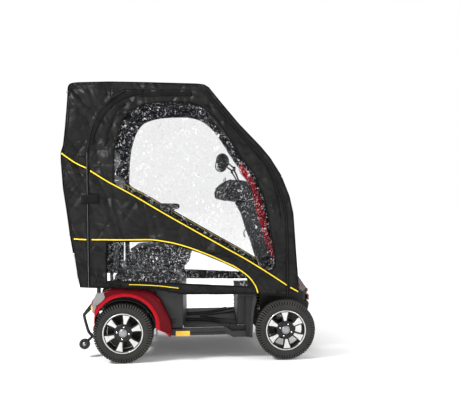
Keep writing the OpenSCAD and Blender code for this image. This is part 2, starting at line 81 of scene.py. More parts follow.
def make_object(name, verts, faces, material, smooth=True):
    """A mesh object from points in millimetres, with one material or a list of them."""
    mesh = bpy.data.meshes.new(name)
    mesh.from_pydata([tuple(c * MM for c in v) for v in verts], [], faces)
    for m in material if isinstance(material, list) else [material]:
        mesh.materials.append(m)
    for poly in mesh.polygons:
        poly.use_smooth = smooth
    return linked(bpy.data.objects.new(name, mesh))


def linked(obj):
    bpy.context.scene.collection.objects.link(obj)
    return obj


def with_modifier(obj, kind, **settings):
    modifier = obj.modifiers.new(kind, kind)
    for key, value in settings.items():
        setattr(modifier, key, value)
    return obj


def apply_modifiers(obj):
    """Bakes an object's modifiers into its mesh."""
    deps = bpy.context.evaluated_depsgraph_get()
    mesh = bpy.data.meshes.new_from_object(obj.evaluated_get(deps))
    obj.modifiers.clear()
    old, obj.data = obj.data, mesh
    bpy.data.meshes.remove(old)
    return obj


def thickened(obj, thickness, offset):
    return apply_modifiers(with_modifier(obj, "SOLIDIFY", thickness=thickness * MM, offset=offset))


def recalc(obj):
    """Turns every face outward."""
    bm = bmesh.new()
    bm.from_mesh(obj.data)
    bmesh.ops.recalc_face_normals(bm, faces=bm.faces)
    bm.to_mesh(obj.data)
    bm.free()
    return obj


def bevelled(obj, width, segments=3, angle=35):
    with_modifier(obj, "BEVEL", width=width * MM, segments=segments, limit_method="ANGLE",
                  angle_limit=math.radians(angle), harden_normals=False)
    return apply_modifiers(with_modifier(obj, "WEIGHTED_NORMAL", keep_sharp=True))


def extruded(name, outline, y0, y1, material, bevel=4, segments=3):
    """A side-view outline made solid from y0 to y1, with rounded edges."""
    verts = [(x, y, z) for y in (y0, y1) for x, z in outline]
    return bevelled(recalc(make_object(name, verts, prism_faces(len(outline)), material)), bevel,
                    segments)


def plate(name, outline, side, near, far, material, bevel=4, segments=3):
    """An extruded outline on one side of the scooter, between two distances from its middle."""
    return extruded(name, outline, *sorted((side * near, side * far)), material, bevel, segments)


def corners(x0, x1, z0, z1):
    return [(x0, z0), (x1, z0), (x1, z1), (x0, z1)]


def slab(name, low, high, material, bevel=4, segments=3):
    """A box between two corners, with rounded edges."""
    return extruded(name, corners(low[0], high[0], low[2], high[2]), low[1], high[1], material,
                    bevel, segments)


def lathe(name, profile, centre, material, side=1, steps=96, closed=False):
    """A profile of (radius, outward) points turned about the Y axis through centre."""
    verts = []
    for i in range(steps):
        a = 2 * math.pi * i / steps
        verts += [(centre[0] + r * math.cos(a), centre[1] + side * w, centre[2] + r * math.sin(a))
                  for r, w in profile]
    return recalc(make_object(name, verts, grid_faces(steps, len(profile), closed, True),
                              material))


def smooth_path(points, steps=8, cyclic=False):
    """Catmull-Rom points through a list of points."""
    pts = [np.array(p, float) for p in points]
    n = len(pts)
    out = []
    for i in range(n if cyclic else n - 1):
        p = [pts[(i + k) % n] if cyclic else pts[min(max(i + k, 0), n - 1)] for k in (-1, 0, 1, 2)]
        for s in range(steps):
            t = s / steps
            out.append(0.5 * (2 * p[1] + (p[2] - p[0]) * t
                              + (2 * p[0] - 5 * p[1] + 4 * p[2] - p[3]) * t * t
                              + (3 * p[1] - p[0] - 3 * p[2] + p[3]) * t ** 3))
    return out if cyclic else out + [pts[-1]]


def spaced(points, step, cyclic=False):
    """Points a near-even step apart along a polyline of any dimension."""
    pts = [np.array(p, float) for p in points]
    if cyclic:
        pts.append(pts[0])
    out = []
    for a, b in zip(pts, pts[1:]):
        n = max(1, int(round(np.linalg.norm(b - a) / step)))
        out += [a + (b - a) * k / n for k in range(n)]
    return out if cyclic else out + [pts[-1]]


def tube(name, points, radius, material, sides=12, flat=1.0, cyclic=False):
    """A round tube along a path; flat squeezes it across its second axis."""
    pts = [Vector(p) for p in points]
    n = len(pts)
    verts, up = [], None
    for i, p in enumerate(pts):
        a = pts[(i - 1) % n] if cyclic or i else pts[0]
        b = pts[(i + 1) % n] if cyclic or i < n - 1 else pts[-1]
        d = (b - a).normalized()
        if up is None:
            up = d.orthogonal().normalized()
        up = (up - d * up.dot(d)).normalized()
        other = d.cross(up)
        r = radius(i / max(n - 1, 1)) if callable(radius) else radius
        for k in range(sides):
            t = 2 * math.pi * k / sides
            verts.append(p + up * r * math.cos(t) + other * r * flat * math.sin(t))
    faces = grid_faces(n, sides, True, cyclic)
    if not cyclic:
        faces += [tuple(range(sides - 1, -1, -1)),
                  tuple((n - 1) * sides + k for k in range(sides))]
    return make_object(name, verts, faces, material)


def joined(name, objects):
    """One object from several, keeping each one's materials."""
    bm = bmesh.new()
    materials = []
    for o in objects:
        lookup = []
        for m in o.data.materials:
            if m not in materials:
                materials.append(m)
            lookup.append(materials.index(m))
        start = len(bm.faces)
        bm.from_mesh(o.data)
        bm.faces.ensure_lookup_table()
        for f in bm.faces[start:]:
            f.material_index = lookup[f.material_index]
    mesh = bpy.data.meshes.new(name)
    bm.to_mesh(mesh)
    bm.free()
    for m in materials:
        mesh.materials.append(m)
    for o in objects:
        old = o.data
        bpy.data.objects.remove(o)
        bpy.data.meshes.remove(old)
    return linked(bpy.data.objects.new(name, mesh))


def mirrored(points, side):
    """Points drawn on the left, moved to the side asked for."""
    return [(p[0], p[1] * side, p[2]) for p in points]


def moved(obj, metres, angle=0, axis="Z"):
    """Turns a piece drawn round the origin by degrees and moves it to a place in metres."""
    obj.data.transform(Matrix.Translation(metres)
                       @ Matrix.Rotation(math.radians(angle), 4, axis))
    return obj


def both(build):
    """Builds something on the right and then on the left."""
    for side_name, side in SIDES:
        build(side_name, side)


def part(obj, body, slot=None, *nodes):
    """Fixes a finished piece to its body and hides the nodes it stands for; slot is not used."""
    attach(obj, body)
    if nodes:
        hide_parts(*nodes)
    return obj


# ---------------------------------------------------------------- materials

class Shade:
    """The node tree of a material or world, with the short chains that the finishes share."""

    def __init__(self, owner):
        owner.use_nodes = True
        self.owner, self.nodes, self.links = owner, owner.node_tree.nodes, owner.node_tree.links
        self.shader = next((n for n in self.nodes if n.type == "BSDF_PRINCIPLED"), None)
        self.coord = self.add("TexCoord").outputs["Object"]

    def fill(self, node, inputs):
        """Gives a node's inputs their values, or links them where a socket is given."""
        for key, value in inputs.items():
            if isinstance(value, bpy.types.NodeSocket):
                self.links.new(value, node.inputs[key])
            else:
                node.inputs[key].default_value = value
        return node

    def add(self, kind, inputs=None, **attributes):
        node = self.nodes.new("ShaderNode" + kind)
        for key, value in attributes.items():
            setattr(node, key, value)
        return self.fill(node, inputs or {})

    def put(self, **inputs):
        """Sets the shader's inputs, written with _ for a space."""
        self.fill(self.shader, {key.replace("_", " "): value for key, value in inputs.items()})

    def mapped(self, **inputs):
        return self.add("Mapping", {**inputs, "Vector": self.coord}).outputs["Vector"]

    def noise(self, scale, detail=4, rough=0.5, distortion=0.0, coord=None):
        return self.add("TexNoise", {"Scale": scale, "Detail": detail, "Roughness": rough,
                                     "Distortion": distortion,
                                     "Vector": coord or self.coord}).outputs["Fac"]

    def ramp(self, value, *stops):
        node = self.add("ValToRGB", {"Fac": value})
        elements = node.color_ramp.elements
        while len(elements) < len(stops):
            elements.new(0.5)
        for element, (position, colour) in zip(elements, stops):
            element.position = position
            element.color = (*(colour if isinstance(colour, tuple) else (colour,) * 3), 1)
        return node.outputs["Color"]

    def math(self, operation, a, b):
        """Combines two values; with none before it, the second stands alone."""
        if a is None:
            return b
        return self.add("Math", {0: a, 1: b}, operation=operation).outputs[0]

    def bump(self, height, strength, distance, base=None):
        inputs = {"Strength": strength, "Distance": distance, "Height": height}
        if base:
            inputs["Normal"] = base
        normal = self.add("Bump", inputs).outputs["Normal"]
        self.put(Normal=normal)
        return normal


def new_material(name):
    return Shade(bpy.data.materials.new(name))


def times(colour, factor):
    return tuple(c * factor for c in colour)


def moulded(name, colour, rough=0.5, grain=900, grain_depth=0.00025, spread=0.25, coat=0.0,
            wear=0.06, specular=0.24):
    """A moulded, painted or cast surface: fine grain, slight colour and gloss variation."""
    s = new_material(name)
    light = tuple(min(1, c * (1 + spread) + 0.002) for c in colour)
    s.put(Base_Color=s.ramp(s.noise(9, 6, 0.6), (0.3, times(colour, 1 - spread)), (0.7, light)),
          Roughness=s.ramp(s.noise(35, 5, 0.65), (0.3, max(rough - wear, 0.02)),
                           (0.7, rough + wear)),
          Specular_IOR_Level=specular, Coat_Weight=coat, Coat_Roughness=0.04)
    s.bump(s.noise(grain, 2), 0.35, grain_depth)
    return s.owner


def cloth_material(name, colour, rough=0.62, crumpled=True):
    """Coated woven nylon: sharp soft folds with painted shade along their creases, patchy tone, a
    fine square weave and a weak sheen.
    """
    s = new_material(name)
    height = painted_crease_shade = weave = None
    for angle, scale, squeeze in ((0.80, 5.0, 0.20), (-0.65, 6.0, 0.22), (1.45, 7.5, 0.22),
                                  (0.30, 8.5, 0.26)):
        turned_coord = s.mapped(Rotation=(0, angle, 0))
        squeezed = s.add("Mapping", {"Scale": (1.0, 1.0, squeeze), "Vector": turned_coord})
        field = s.noise(scale, 2, 0.4, 0.35, squeezed.outputs["Vector"])
        height = s.math("ADD", height, s.ramp(field, (0.30, 1.0), (0.5, 0.0), (0.70, 1.0)))
        # Painted shade: each fold field darkens the colour along its hollow, where the crease
        # would lie in shadow.
        painted_crease_shade = s.math("MULTIPLY", painted_crease_shade, s.ramp(field, (0.478, 1.0), (0.5, 0.35), (0.522, 1.0)))
    base = s.ramp(s.noise(7, 8, 0.62, 0.4), (0.3, times(colour, 0.72)), (0.72, times(colour, 1.3)))
    # The patchy base tone times the painted crease shade, strong on crumpled cloth and weak on
    # flat tape.
    tone_and_crease_shade = s.add("MixRGB", {0: 0.75 if crumpled else 0.15, 1: base, 2: painted_crease_shade},
                 blend_type="MULTIPLY")
    for direction in ("X", "Z"):
        wave = s.add("TexWave", {"Scale": 260, "Distortion": 0.6, "Vector": s.coord},
                     wave_type="BANDS", bands_direction=direction)
        weave = s.math("MAXIMUM", weave, wave.outputs["Fac"])
    s.bump(weave, 0.25, 0.0004, s.bump(height, 0.8 if crumpled else 0.2, 0.020))
    s.put(Base_Color=tone_and_crease_shade.outputs[0],
          Roughness=s.ramp(s.noise(22, 6, 0.6), (0.3, rough - 0.08), (0.7, rough + 0.1)),
          Sheen_Weight=0.015, Sheen_Roughness=0.4, Specular_IOR_Level=0.17)
    return s.owner


def film_material(name, haze, amount):
    """Clear flexible film: see-through, slightly hazy, with painted glints: short bright crease
    streaks in patches that stand in for light caught on the creases.
    """
    s = new_material(name)
    painted_glints = None
    for angle, scale in ((0.7, 24), (-0.8, 40), (0.1, 62)):
        coord = s.mapped(Rotation=(0, angle, 0), Scale=(1.0, 1.0, 0.5))
        line = s.ramp(s.noise(scale, 2, 0.5, 1.0, coord),
                      (0.487, 0.0), (0.497, 1.0), (0.503, 1.0), (0.513, 0.0))
        broken = s.ramp(s.noise(scale * 1.9, 2), (amount, 0.0), (amount + 0.06, 1.0))
        # Painted glints: thin broken streaks; amount sets how sparse they are.
        painted_glints = s.math("MAXIMUM", painted_glints, s.math("MULTIPLY", line, broken))
    patch = s.ramp(s.noise(7.0, 4, 0.6), (0.36, 0.25), (0.56, 1.0))
    painted_glint_mask = s.math("MULTIPLY", painted_glints, patch)
    # Where the painted glints lie, the film turns white and nearly opaque.
    alpha = s.add("MapRange", {"To Min": haze, "To Max": 0.92, "Value": painted_glint_mask})
    s.put(Alpha=alpha.outputs["Result"], Roughness=0.14, Specular_IOR_Level=0.25,
          Base_Color=s.ramp(painted_glint_mask, (0.0, (0.045, 0.05, 0.065)), (0.10, (0.95, 0.95, 0.97))))
    s.bump(s.noise(30, 5, 0.6, 1.0), 0.6, 0.012)
    return s.owner


def metal(name, colour, rough, brushed=False):
    s = new_material(name)
    fac = s.noise(60, 5, 0.6, 0.0, s.mapped(Scale=(1, 9, 1)) if brushed else None)
    s.put(Base_Color=s.ramp(fac, (0.3, times(colour, 0.88)), (0.7, colour)), Metallic=1.0,
          Roughness=s.ramp(fac, (0.3, max(rough - 0.05, 0.03)), (0.7, rough + 0.07)))
    s.bump(s.noise(700, 2), 0.12, 0.0001)
    return s.owner


def car_paint(name, colour, rough=0.22):
    """Red metallic paint under clear lacquer, with fine flake."""
    s = new_material(name)
    flake = s.noise(1400, 1)
    s.put(Base_Color=s.ramp(flake, (0.35, times(colour, 0.7)), (0.7, colour)), Metallic=0.6,
          Roughness=s.ramp(s.noise(14, 5, 0.6), (0.3, rough), (0.7, rough + 0.08)),
          Specular_IOR_Level=0.12, Coat_Weight=0.12, Coat_Roughness=0.06)
    s.bump(flake, 0.08, 0.00006)
    return s.owner


def lens(name, colour, alpha):
    """Ribbed clear or coloured lamp lens."""
    s = new_material(name)
    ribs = s.add("TexWave", {"Scale": 60, "Vector": s.coord}, bands_direction="Z").outputs["Fac"]
    s.put(Base_Color=s.ramp(ribs, (0.2, times(colour, 0.7)), (0.8, colour)), Roughness=0.12,
          Alpha=alpha, Coat_Weight=0.5)
    s.bump(ribs, 0.3, 0.0008)
    return s.owner


def vinyl(name, colour):
    """Grained seat vinyl."""
    s = new_material(name)
    grain = s.add("TexVoronoi", {"Scale": 330, "Vector": s.coord})
    s.put(Base_Color=s.ramp(s.noise(8, 6, 0.6), (0.3, times(colour, 0.75)),
                            (0.7, times(colour, 1.3))),
          Roughness=s.ramp(s.noise(20, 5, 0.6), (0.3, 0.38), (0.7, 0.52)),
          Specular_IOR_Level=0.22)
    s.bump(grain.outputs["Distance"], 0.3, 0.0006)
    return s.owner


CLOTH = cloth_material("canopy_cloth", (0.0085, 0.0083, 0.0081), 0.46)
CLOTH_DARK = cloth_material("hook_tape", (0.004, 0.004, 0.004), 0.85, False)
PIPING = moulded("yellow_piping", (0.94, 0.68, 0.040), 0.4, 500, 0.0003, 0.08)
FILM = film_material("clear_film", 0.085, 0.55)
FILM_LOW = film_material("clear_film_low", 0.075, 0.525)
ZIP = moulded("zip_tape", (0.012, 0.012, 0.012), 0.7, 700)
ZIP_TEETH = metal("zip_teeth", (0.16, 0.16, 0.16), 0.35)
BLACK = moulded("black_plastic", (0.0095, 0.0095, 0.010), 0.38)
BLACK_STEEL = moulded("black_steel", (0.016, 0.016, 0.017), 0.33, 1200, 0.0001, 0.2, 0.15)
GREY = moulded("grey_plastic", (0.026, 0.026, 0.0265), 0.50, 800, 0.0004, 0.14)
DECK = moulded("deck_rubber", (0.015, 0.015, 0.0155), 0.60, 700, 0.0005, 0.15)
RUBBER = moulded("tyre_rubber", (0.029, 0.0285, 0.028), 0.66, 500, 0.0005, 0.18, 0, 0.1, 0.16)
GRIP = moulded("grip_rubber", (0.018, 0.018, 0.019), 0.6, 400, 0.0006)
RED = car_paint("red_paint", (0.42, 0.003, 0.012))
# The same red paint made darker: painted shade for the fender's dished face.
RED_SHADED = car_paint("red_paint_shaded", (0.115, 0.0004, 0.0045), 0.28)
SILVER = metal("machined_alloy", (0.66, 0.66, 0.64), 0.30, True)
CHROME = metal("polished_alloy", (0.90, 0.90, 0.90), 0.12)
GLASS = metal("mirror_glass", (0.86, 0.88, 0.90), 0.03)
GREY_METAL = metal("cast_alloy", (0.34, 0.35, 0.36), 0.45)
SPRING_GREY = metal("spring_steel", (0.42, 0.47, 0.52), 0.34)
SPRING_GOLD = metal("spring_gold", (0.62, 0.40, 0.07), 0.34)
AMBER = lens("amber_lens", (0.98, 0.56, 0.02), 1.0)
CLEAR_LENS = lens("clear_lens", (0.25, 0.245, 0.245), 0.92)
RED_LENS = lens("red_lens", (0.26, 0.005, 0.010), 1.0)
SMOKED_LENS = lens("smoked_lens", (0.10, 0.10, 0.105), 0.95)
TREAD = moulded("tread_rubber", (0.047, 0.044, 0.041), 0.75, 500, 0.0005, 0.2, specular=0.12)
# Near-black rubber for the tread hollows: painted shade in the grooves.
GROOVE_SHADE = moulded("tread_groove_shade", (0.006, 0.006, 0.006), 0.8, 500, 0.0004, specular=0.05)
VINYL = vinyl("seat_vinyl", (0.010, 0.010, 0.011))


# ---------------------------------------------------------------- camera, floor and light

CAMERA_PLACE = (0.1194, -3.4997, 0.9789)
CAMERA_TURN = (2.34, -0.95, -0.62)          # yaw, pitch and roll in degrees
FOCAL_LENGTH = 42.06
FLOOR_HALF = 30000


def add_camera():
    """The camera looks along +Y, turned a little to the front, low and slightly rolled."""
    yaw, pitch, roll = (math.radians(a) for a in CAMERA_TURN)
    forward = Vector((math.sin(yaw) * math.cos(pitch), math.cos(yaw) * math.cos(pitch),
                      math.sin(pitch)))
    right = Vector((math.cos(yaw), -math.sin(yaw), 0))
    up = right.cross(forward)
    right_rolled = right * math.cos(roll) + up * math.sin(roll)
    up_rolled = right_rolled.cross(forward)
    data = bpy.data.cameras.new("camera")
    data.sensor_width = 36
    data.lens = FOCAL_LENGTH
    data.clip_end = 60
    camera = linked(bpy.data.objects.new("camera", data))
    camera.matrix_world = Matrix.Translation(CAMERA_PLACE) @ Matrix(
        (right_rolled, up_rolled, -forward)).transposed().to_4x4()
    bpy.context.scene.camera = camera


def add_area(name, place, target, size, power):
    data = bpy.data.lights.new(name, "AREA")
    data.shape = "RECTANGLE"
    data.size = data.size_y = size
    data.energy = power
    light = linked(bpy.data.objects.new(name, data))
    light.location = place
    light.rotation_euler = (Vector(target) - Vector(place)).to_track_quat("-Z", "Y").to_euler()


def add_studio():
    """A pale flat floor that meets the white horizon, soft lights and a bright world."""
    s = new_material("studio_white")
    half = FLOOR_HALF
    make_object("floor", [(-half, -half, 0), (half, -half, 0), (half, half, 0),
                                   (-half, half, 0)], [(0, 1, 2, 3)], s.owner)
    # The floor glows a little more away from the lamps, so that it meets the backdrop.
    reach = s.add("VectorMath", {0: s.coord}, operation="LENGTH").outputs["Value"]
    glow = s.add("MapRange", {"From Min": 0.55, "From Max": 2.4, "To Min": 0.02, "To Max": 0.62,
                              "Value": reach}).outputs["Result"]
    s.put(Base_Color=s.ramp(s.noise(2, 2), (0.3, 0.90), (0.7, 0.92)), Roughness=0.9,
          Specular_IOR_Level=0.0, Emission_Strength=glow, Emission_Color=(1, 1, 1, 1))
    # White round the horizon, a dimmer ceiling: the lamps then model the folds.
    sky = Shade(bpy.data.worlds.new("world"))
    height = sky.add("SeparateXYZ", {0: sky.add("TexCoord").outputs["Generated"]}).outputs["Z"]
    sky.fill(sky.nodes["Background"], {
        "Color": sky.ramp(height, (0.0, 1.0), (0.36, 1.0), (0.62, 0.30)), "Strength": 1.0})
    bpy.context.scene.world = sky.owner
    add_area("key", (-3.4, -1.7, 3.6), (0, 0, 0.9), 0.9, 260)
    add_area("fill", (3.6, -2.2, 3.0), (0, 0, 0.6), 1.4, 70)
    add_area("top", (0.2, 0.8, 4.4), (0, 0, 0.8), 2.2, 70)
    bpy.context.scene.view_settings.view_transform = "Standard"


add_camera()
add_studio()


# ---------------------------------------------------------------- canopy shape

REAR_LINE = [(-636, 450), (-667, 605), (-692, 763), (-708, 900), (-727, 1035), (-737, 1190),
             (-737, 1246), (-723, 1285), (-710, 1391), (-697, 1525), (-692, 1590)]
ROOF_LINE = [(-692, 1590), (-690, 1632), (-676, 1648), (-640, 1653), (-450, 1656),
             (-240, 1652), (60, 1643), (105, 1638), (132, 1620)]
SLOPE_LINE = [(132, 1620), (200, 1535), (305, 1408), (435, 1271), (491, 1203), (557, 1096)]
FRONT_LINE = [(557, 1096), (572, 1056), (604, 974), (626, 871), (634, 745), (641, 630),
              (651, 492), (656, 406)]
SKIRT_LINE = [(575, 374), (415, 390), (118, 395), (-41, 398), (-187, 429), (-368, 438),
              (-591, 447)]
DOOR_LINE = [(-588, 447), (-588, 1240), (-565, 1370), (-515, 1480), (-440, 1560),
             (-360, 1607), (105, 1607), (150, 1552), (300, 1364), (420, 1234), (478, 1158),
             (530, 1062), (565, 960), (584, 860), (588, 745), (588, 376)]
UPPER_WINDOW = [(-434, 1057), (-434, 1100), (-426, 1257), (-404, 1362), (-371, 1447),
                (-320, 1503), (-204, 1536), (26, 1538), (132, 1480), (204, 1392),
                (310, 1214), (406, 1096), (464, 923), (498, 714), (520, 560), (484, 520),
                (343, 608), (99, 750), (-194, 922), (-338, 1010)]
LOWER_WINDOW = [(-477, 716), (-481, 486), (37, 459), (322, 442), (364, 438), (335, 520),
                (216, 580), (69, 644), (-79, 694), (-214, 716)]
PIPE_UPPER = [(-734, 1240), (-657, 1185), (-592, 1153)]
PIPE_DOOR = [(-568, 1136), (-468, 1072), (-338, 1000), (-194, 913), (-60, 833), (99, 741),
             (230, 666), (343, 601), (484, 511), (583, 444)]
PIPE_FRONT = [(605, 430), (628, 417), (651, 404)]
PIPE_REAR_LOW = [(-669, 737), (-630, 734), (-596, 732)]
PIPE_DOOR_LOW = [(-566, 731), (-480, 730), (-401, 728), (-310, 727), (-214, 726), (-145, 716),
                 (-79, 702), (0, 678), (69, 652), (145, 621), (216, 587), (265, 564),
                 (305, 538), (340, 512), (364, 489), (385, 461), (400, 435), (410, 400)]
PIPE_SKIRT = [(-352, 462), (-270, 458), (-190, 453), (-125, 445), (-60, 436)]
UPPER_EDGE = REAR_LINE + ROOF_LINE[1:] + SLOPE_LINE[1:] + FRONT_LINE[1:]


def rounded(points):
    """A closed outline with its corners cut twice, as a sewn binding takes them."""
    for _ in range(2):
        pairs = list(zip(points, points[1:] + points[:1]))
        points = [(a[0] * (1 - t) + b[0] * t, a[1] * (1 - t) + b[1] * t)
                  for a, b in pairs for t in (0.25, 0.75)]
    return points


UPPER_WINDOW = rounded(UPPER_WINDOW)


def inside(polygon, x, z):
    """Which of the points x, z lie inside a polygon."""
    hit = np.zeros(len(x), bool)
    pts = np.array(polygon, float)
    for (x0, z0), (x1, z1) in zip(pts, np.roll(pts, -1, axis=0)):
        if z0 == z1:
            continue
        crossing = ((z0 > z) != (z1 > z)) & (x < (x1 - x0) * (z - z0) / (z1 - z0) + x0)
        hit ^= crossing
    return hit


def distance_to(line, x, z):
    """Distance from each point to a polyline."""
    pts = np.array(line, float)
    best = np.full(len(x), 1e9)
    for a, b in zip(pts, pts[1:]):
        d = b - a
        t = np.clip(((x - a[0]) * d[0] + (z - a[1]) * d[1]) / max(d @ d, 1e-9), 0, 1)
        best = np.minimum(best, np.hypot(x - a[0] - d[0] * t, z - a[1] - d[1] * t))
    return best


def lattice(ix, iz, seed):
    """Repeatable values from -1 to 1 on a square lattice."""
    v = np.sin(ix * 127.1 + iz * 311.7 + seed * 74.7) * 43758.5453
    return 2 * (v - np.floor(v)) - 1


def value_noise(x, z, seed):
    """Smooth noise from -1 to 1, one unit between its lattice points."""
    ix, iz = np.floor(x), np.floor(z)
    fx, fz = x - ix, z - iz
    sx, sz = (f * f * f * (f * (f * 6 - 15) + 10) for f in (fx, fz))
    a = lattice(ix, iz, seed) * (1 - sx) + lattice(ix + 1, iz, seed) * sx
    b = lattice(ix, iz + 1, seed) * (1 - sx) + lattice(ix + 1, iz + 1, seed) * sx
    return a * (1 - sz) + b * sz


def creases(x, z, angle, across, along, seed):
    """Long folds lying at an angle to the X axis: ridges near 1, hollows near 0."""
    a = math.radians(angle)
    u, v = x * math.cos(a) + z * math.sin(a), z * math.cos(a) - x * math.sin(a)
    v = v + 0.35 * across * value_noise(u / along * 1.7, v / across / 2, seed + 9)
    n = value_noise(u / along, v / across, seed)
    return 1 - np.abs(n) ** 0.8 * 1.6


def cloth_offset(x, z, side=-1):
    """How far the side cloth stands out from its flat plane, in mm."""
    x, z = np.atleast_1d(np.array(x, float)), np.atleast_1d(np.array(z, float))
    s = 3 if side < 0 else 41
    soft = 5.0 * value_noise(x / 210, z / 260, s)
    patch = 0.55 + 0.45 * value_noise(x / 170, z / 190, s + 1)
    folds = (5.2 * creases(x, z, -38, 52, 230, s + 2)
             + 4.6 * creases(x, z, 34, 46, 190, s + 3)
             + 3.4 * creases(x, z, 86, 40, 230, s + 4)
             + 2.2 * creases(x, z, -12, 26, 90, s + 5) - 3.0)
    held = np.minimum(distance_to(UPPER_EDGE, x, z) / 70, 1)
    held = held * held * (3 - 2 * held)
    rear_pull = np.exp(-((x + 735) / 130) ** 2 - ((z - 1245) / 150) ** 2)
    angle = np.arctan2(z - 1245, x + 735)
    rays = rear_pull * 2.6 * np.sin(angle * 17)
    piped = np.minimum.reduce([distance_to(line, x, z) for line in
                               (PIPE_UPPER + PIPE_DOOR, PIPE_REAR_LOW + PIPE_DOOR_LOW)])
    calm = 0.45 + 0.55 * np.minimum(piped / 34, 1)
    return (soft + patch * folds * calm) * (0.12 + 0.88 * held) + rays * np.minimum(held + 0.25, 1)


def side_cloth(name, outline, holes, material, side, step=11, lift=0.0, extra=None,
               thickness=1.6):
    """A flat cut of cloth hung on the side plane, with window holes and real folds."""
    rim = [tuple(p) for p in spaced(outline, step, True)]
    loops = [rim] + [[tuple(p) for p in spaced(h, step, True)] for h in holes]
    points, edges = [], []
    for loop in loops:
        first = len(points)
        points += loop
        edges += [(first + i, first + (i + 1) % len(loop)) for i in range(len(loop))]
    box = np.array(outline)
    gx, gz = np.meshgrid(np.arange(box[:, 0].min(), box[:, 0].max(), step),
                         np.arange(box[:, 1].min(), box[:, 1].max(), step * 0.87))
    gx = gx + (np.arange(gx.shape[0]) % 2)[:, None] * step / 2
    gx, gz = gx.ravel(), gz.ravel()
    keep = inside(outline, gx, gz)
    for loop in loops:
        keep &= distance_to(loop + loop[:1], gx, gz) > step * 0.45
    for h in holes:
        keep &= ~inside(h, gx, gz)
    points += list(zip(gx[keep], gz[keep]))
    cut = delaunay_2d_cdt([Vector((float(a), float(b))) for a, b in points], edges, [], 0, 1e-4)
    flat = np.array([(v.x, v.y) for v in cut[0]])
    faces = np.array([f for f in cut[2] if len(f) == 3])
    mid = flat[faces].mean(axis=1)
    keep = inside(outline, mid[:, 0], mid[:, 1])
    for h in holes:
        keep &= ~inside(h, mid[:, 0], mid[:, 1])
    faces = faces[keep]
    out = cloth_offset(flat[:, 0], flat[:, 1], side) + lift
    if extra is not None:
        out = out + extra(flat[:, 0], flat[:, 1])
    verts = [(x, side * (SKIN_Y + o), z) for (x, z), o in zip(flat, out)]
    order = [tuple(f) if side > 0 else tuple(f[::-1]) for f in faces.tolist()]
    obj = make_object(name, verts, order, material)
    if thickness:
        thickened(obj, thickness, -side)
    return obj, abs(polygon_area(outline)) - sum(abs(polygon_area(h)) for h in holes)


def polygon_area(polygon):
    """Area in square millimetres."""
    p = np.array(polygon, float)
    q = np.roll(p, -1, axis=0)
    return 0.5 * float(np.sum(p[:, 0] * q[:, 1] - q[:, 0] * p[:, 1]))


def film_ripple(x, z):
    """Small sharp puckers in clear film."""
    return (1.4 * creases(x, z, 48, 15, 60, 71) + 1.2 * creases(x, z, -44, 13, 52, 72)
            + 1.0 * creases(x, z, 80, 18, 80, 73) - 1.2)


def grown(polygon, by):
    """A polygon pushed outward by a distance."""
    p = np.array(polygon, float)
    if polygon_area(polygon) < 0:
        p = p[::-1]
    normal = 0
    for edge in (p - np.roll(p, 1, axis=0), np.roll(p, -1, axis=0) - p):
        normal = normal + (np.stack([edge[:, 1], -edge[:, 0]], 1)
                           / np.linalg.norm(edge, axis=1)[:, None])
    return [tuple(a + by * (n / max(np.linalg.norm(n), 1e-9))) for a, n in zip(p, normal)]


def on_cloth(points, side, out=0.0, step=9, rounded=True):
    """A line of (x, z) points laid on the side cloth's folds."""
    path = smooth_path(points, 6) if rounded else points
    path = np.array(spaced(path, step))
    y = cloth_offset(path[:, 0], path[:, 1], side) + SKIN_Y + out
    return [(float(x), side * float(o), float(z)) for (x, z), o in zip(path, y)]


def cord(name, points, side, material, radius=3.6, out=2.2, rounded=True, flat=1.0, sides=10):
    return tube(name, on_cloth(points, side, out, 9, rounded), radius, material, sides, flat)


def ribbon(name, points, side, material, width, out=1.0, rounded=True, thick=1.4):
    """A flat strip of tape laid on the cloth."""
    path = np.array([(p[0], p[2]) for p in on_cloth(points, side, 0, 10, rounded)])
    tangent = np.gradient(path, axis=0)
    tangent /= np.linalg.norm(tangent, axis=1)[:, None]
    across = np.stack([-tangent[:, 1], tangent[:, 0]], 1)
    cols = np.linspace(-width / 2, width / 2, 5)
    verts = []
    for p, a in zip(path, across):
        line = p + cols[:, None] * a
        off = cloth_offset(line[:, 0], line[:, 1], side) + SKIN_Y + out
        verts += [(x, side * o, z) for (x, z), o in zip(line, off)]
    return thickened(recalc(make_object(name, verts, grid_faces(len(path), 5), material)), thick,
                     0)


# Each fixed side cloth is cut as three strips: name, outline, straightened width and length.
STRIPS = (("rear", [(-588, 447)] + REAR_LINE + ROOF_LINE[1:4] + [(-440, 1655.8)]
           + DOOR_LINE[1:5][::-1], (0.30, 1.21)),
          ("head", [(-440, 1560), (-440, 1655.8)] + ROOF_LINE[5:] + DOOR_LINE[5:8][::-1],
           (0.60, 0.10)),
          ("front", [(150, 1552), (132, 1620)] + SLOPE_LINE[1:] + FRONT_LINE[1:] + [(588, 376)]
           + DOOR_LINE[8:-1][::-1], (0.11, 1.46)))
DOOR_OUTLINE = DOOR_LINE + SKIRT_LINE[1:]
WINDOWS = (("upper", UPPER_WINDOW, FILM), ("lower", LOWER_WINDOW, FILM_LOW))
ZIP_TOP = 1245          # above this height the rear zip turns and its teeth are covered


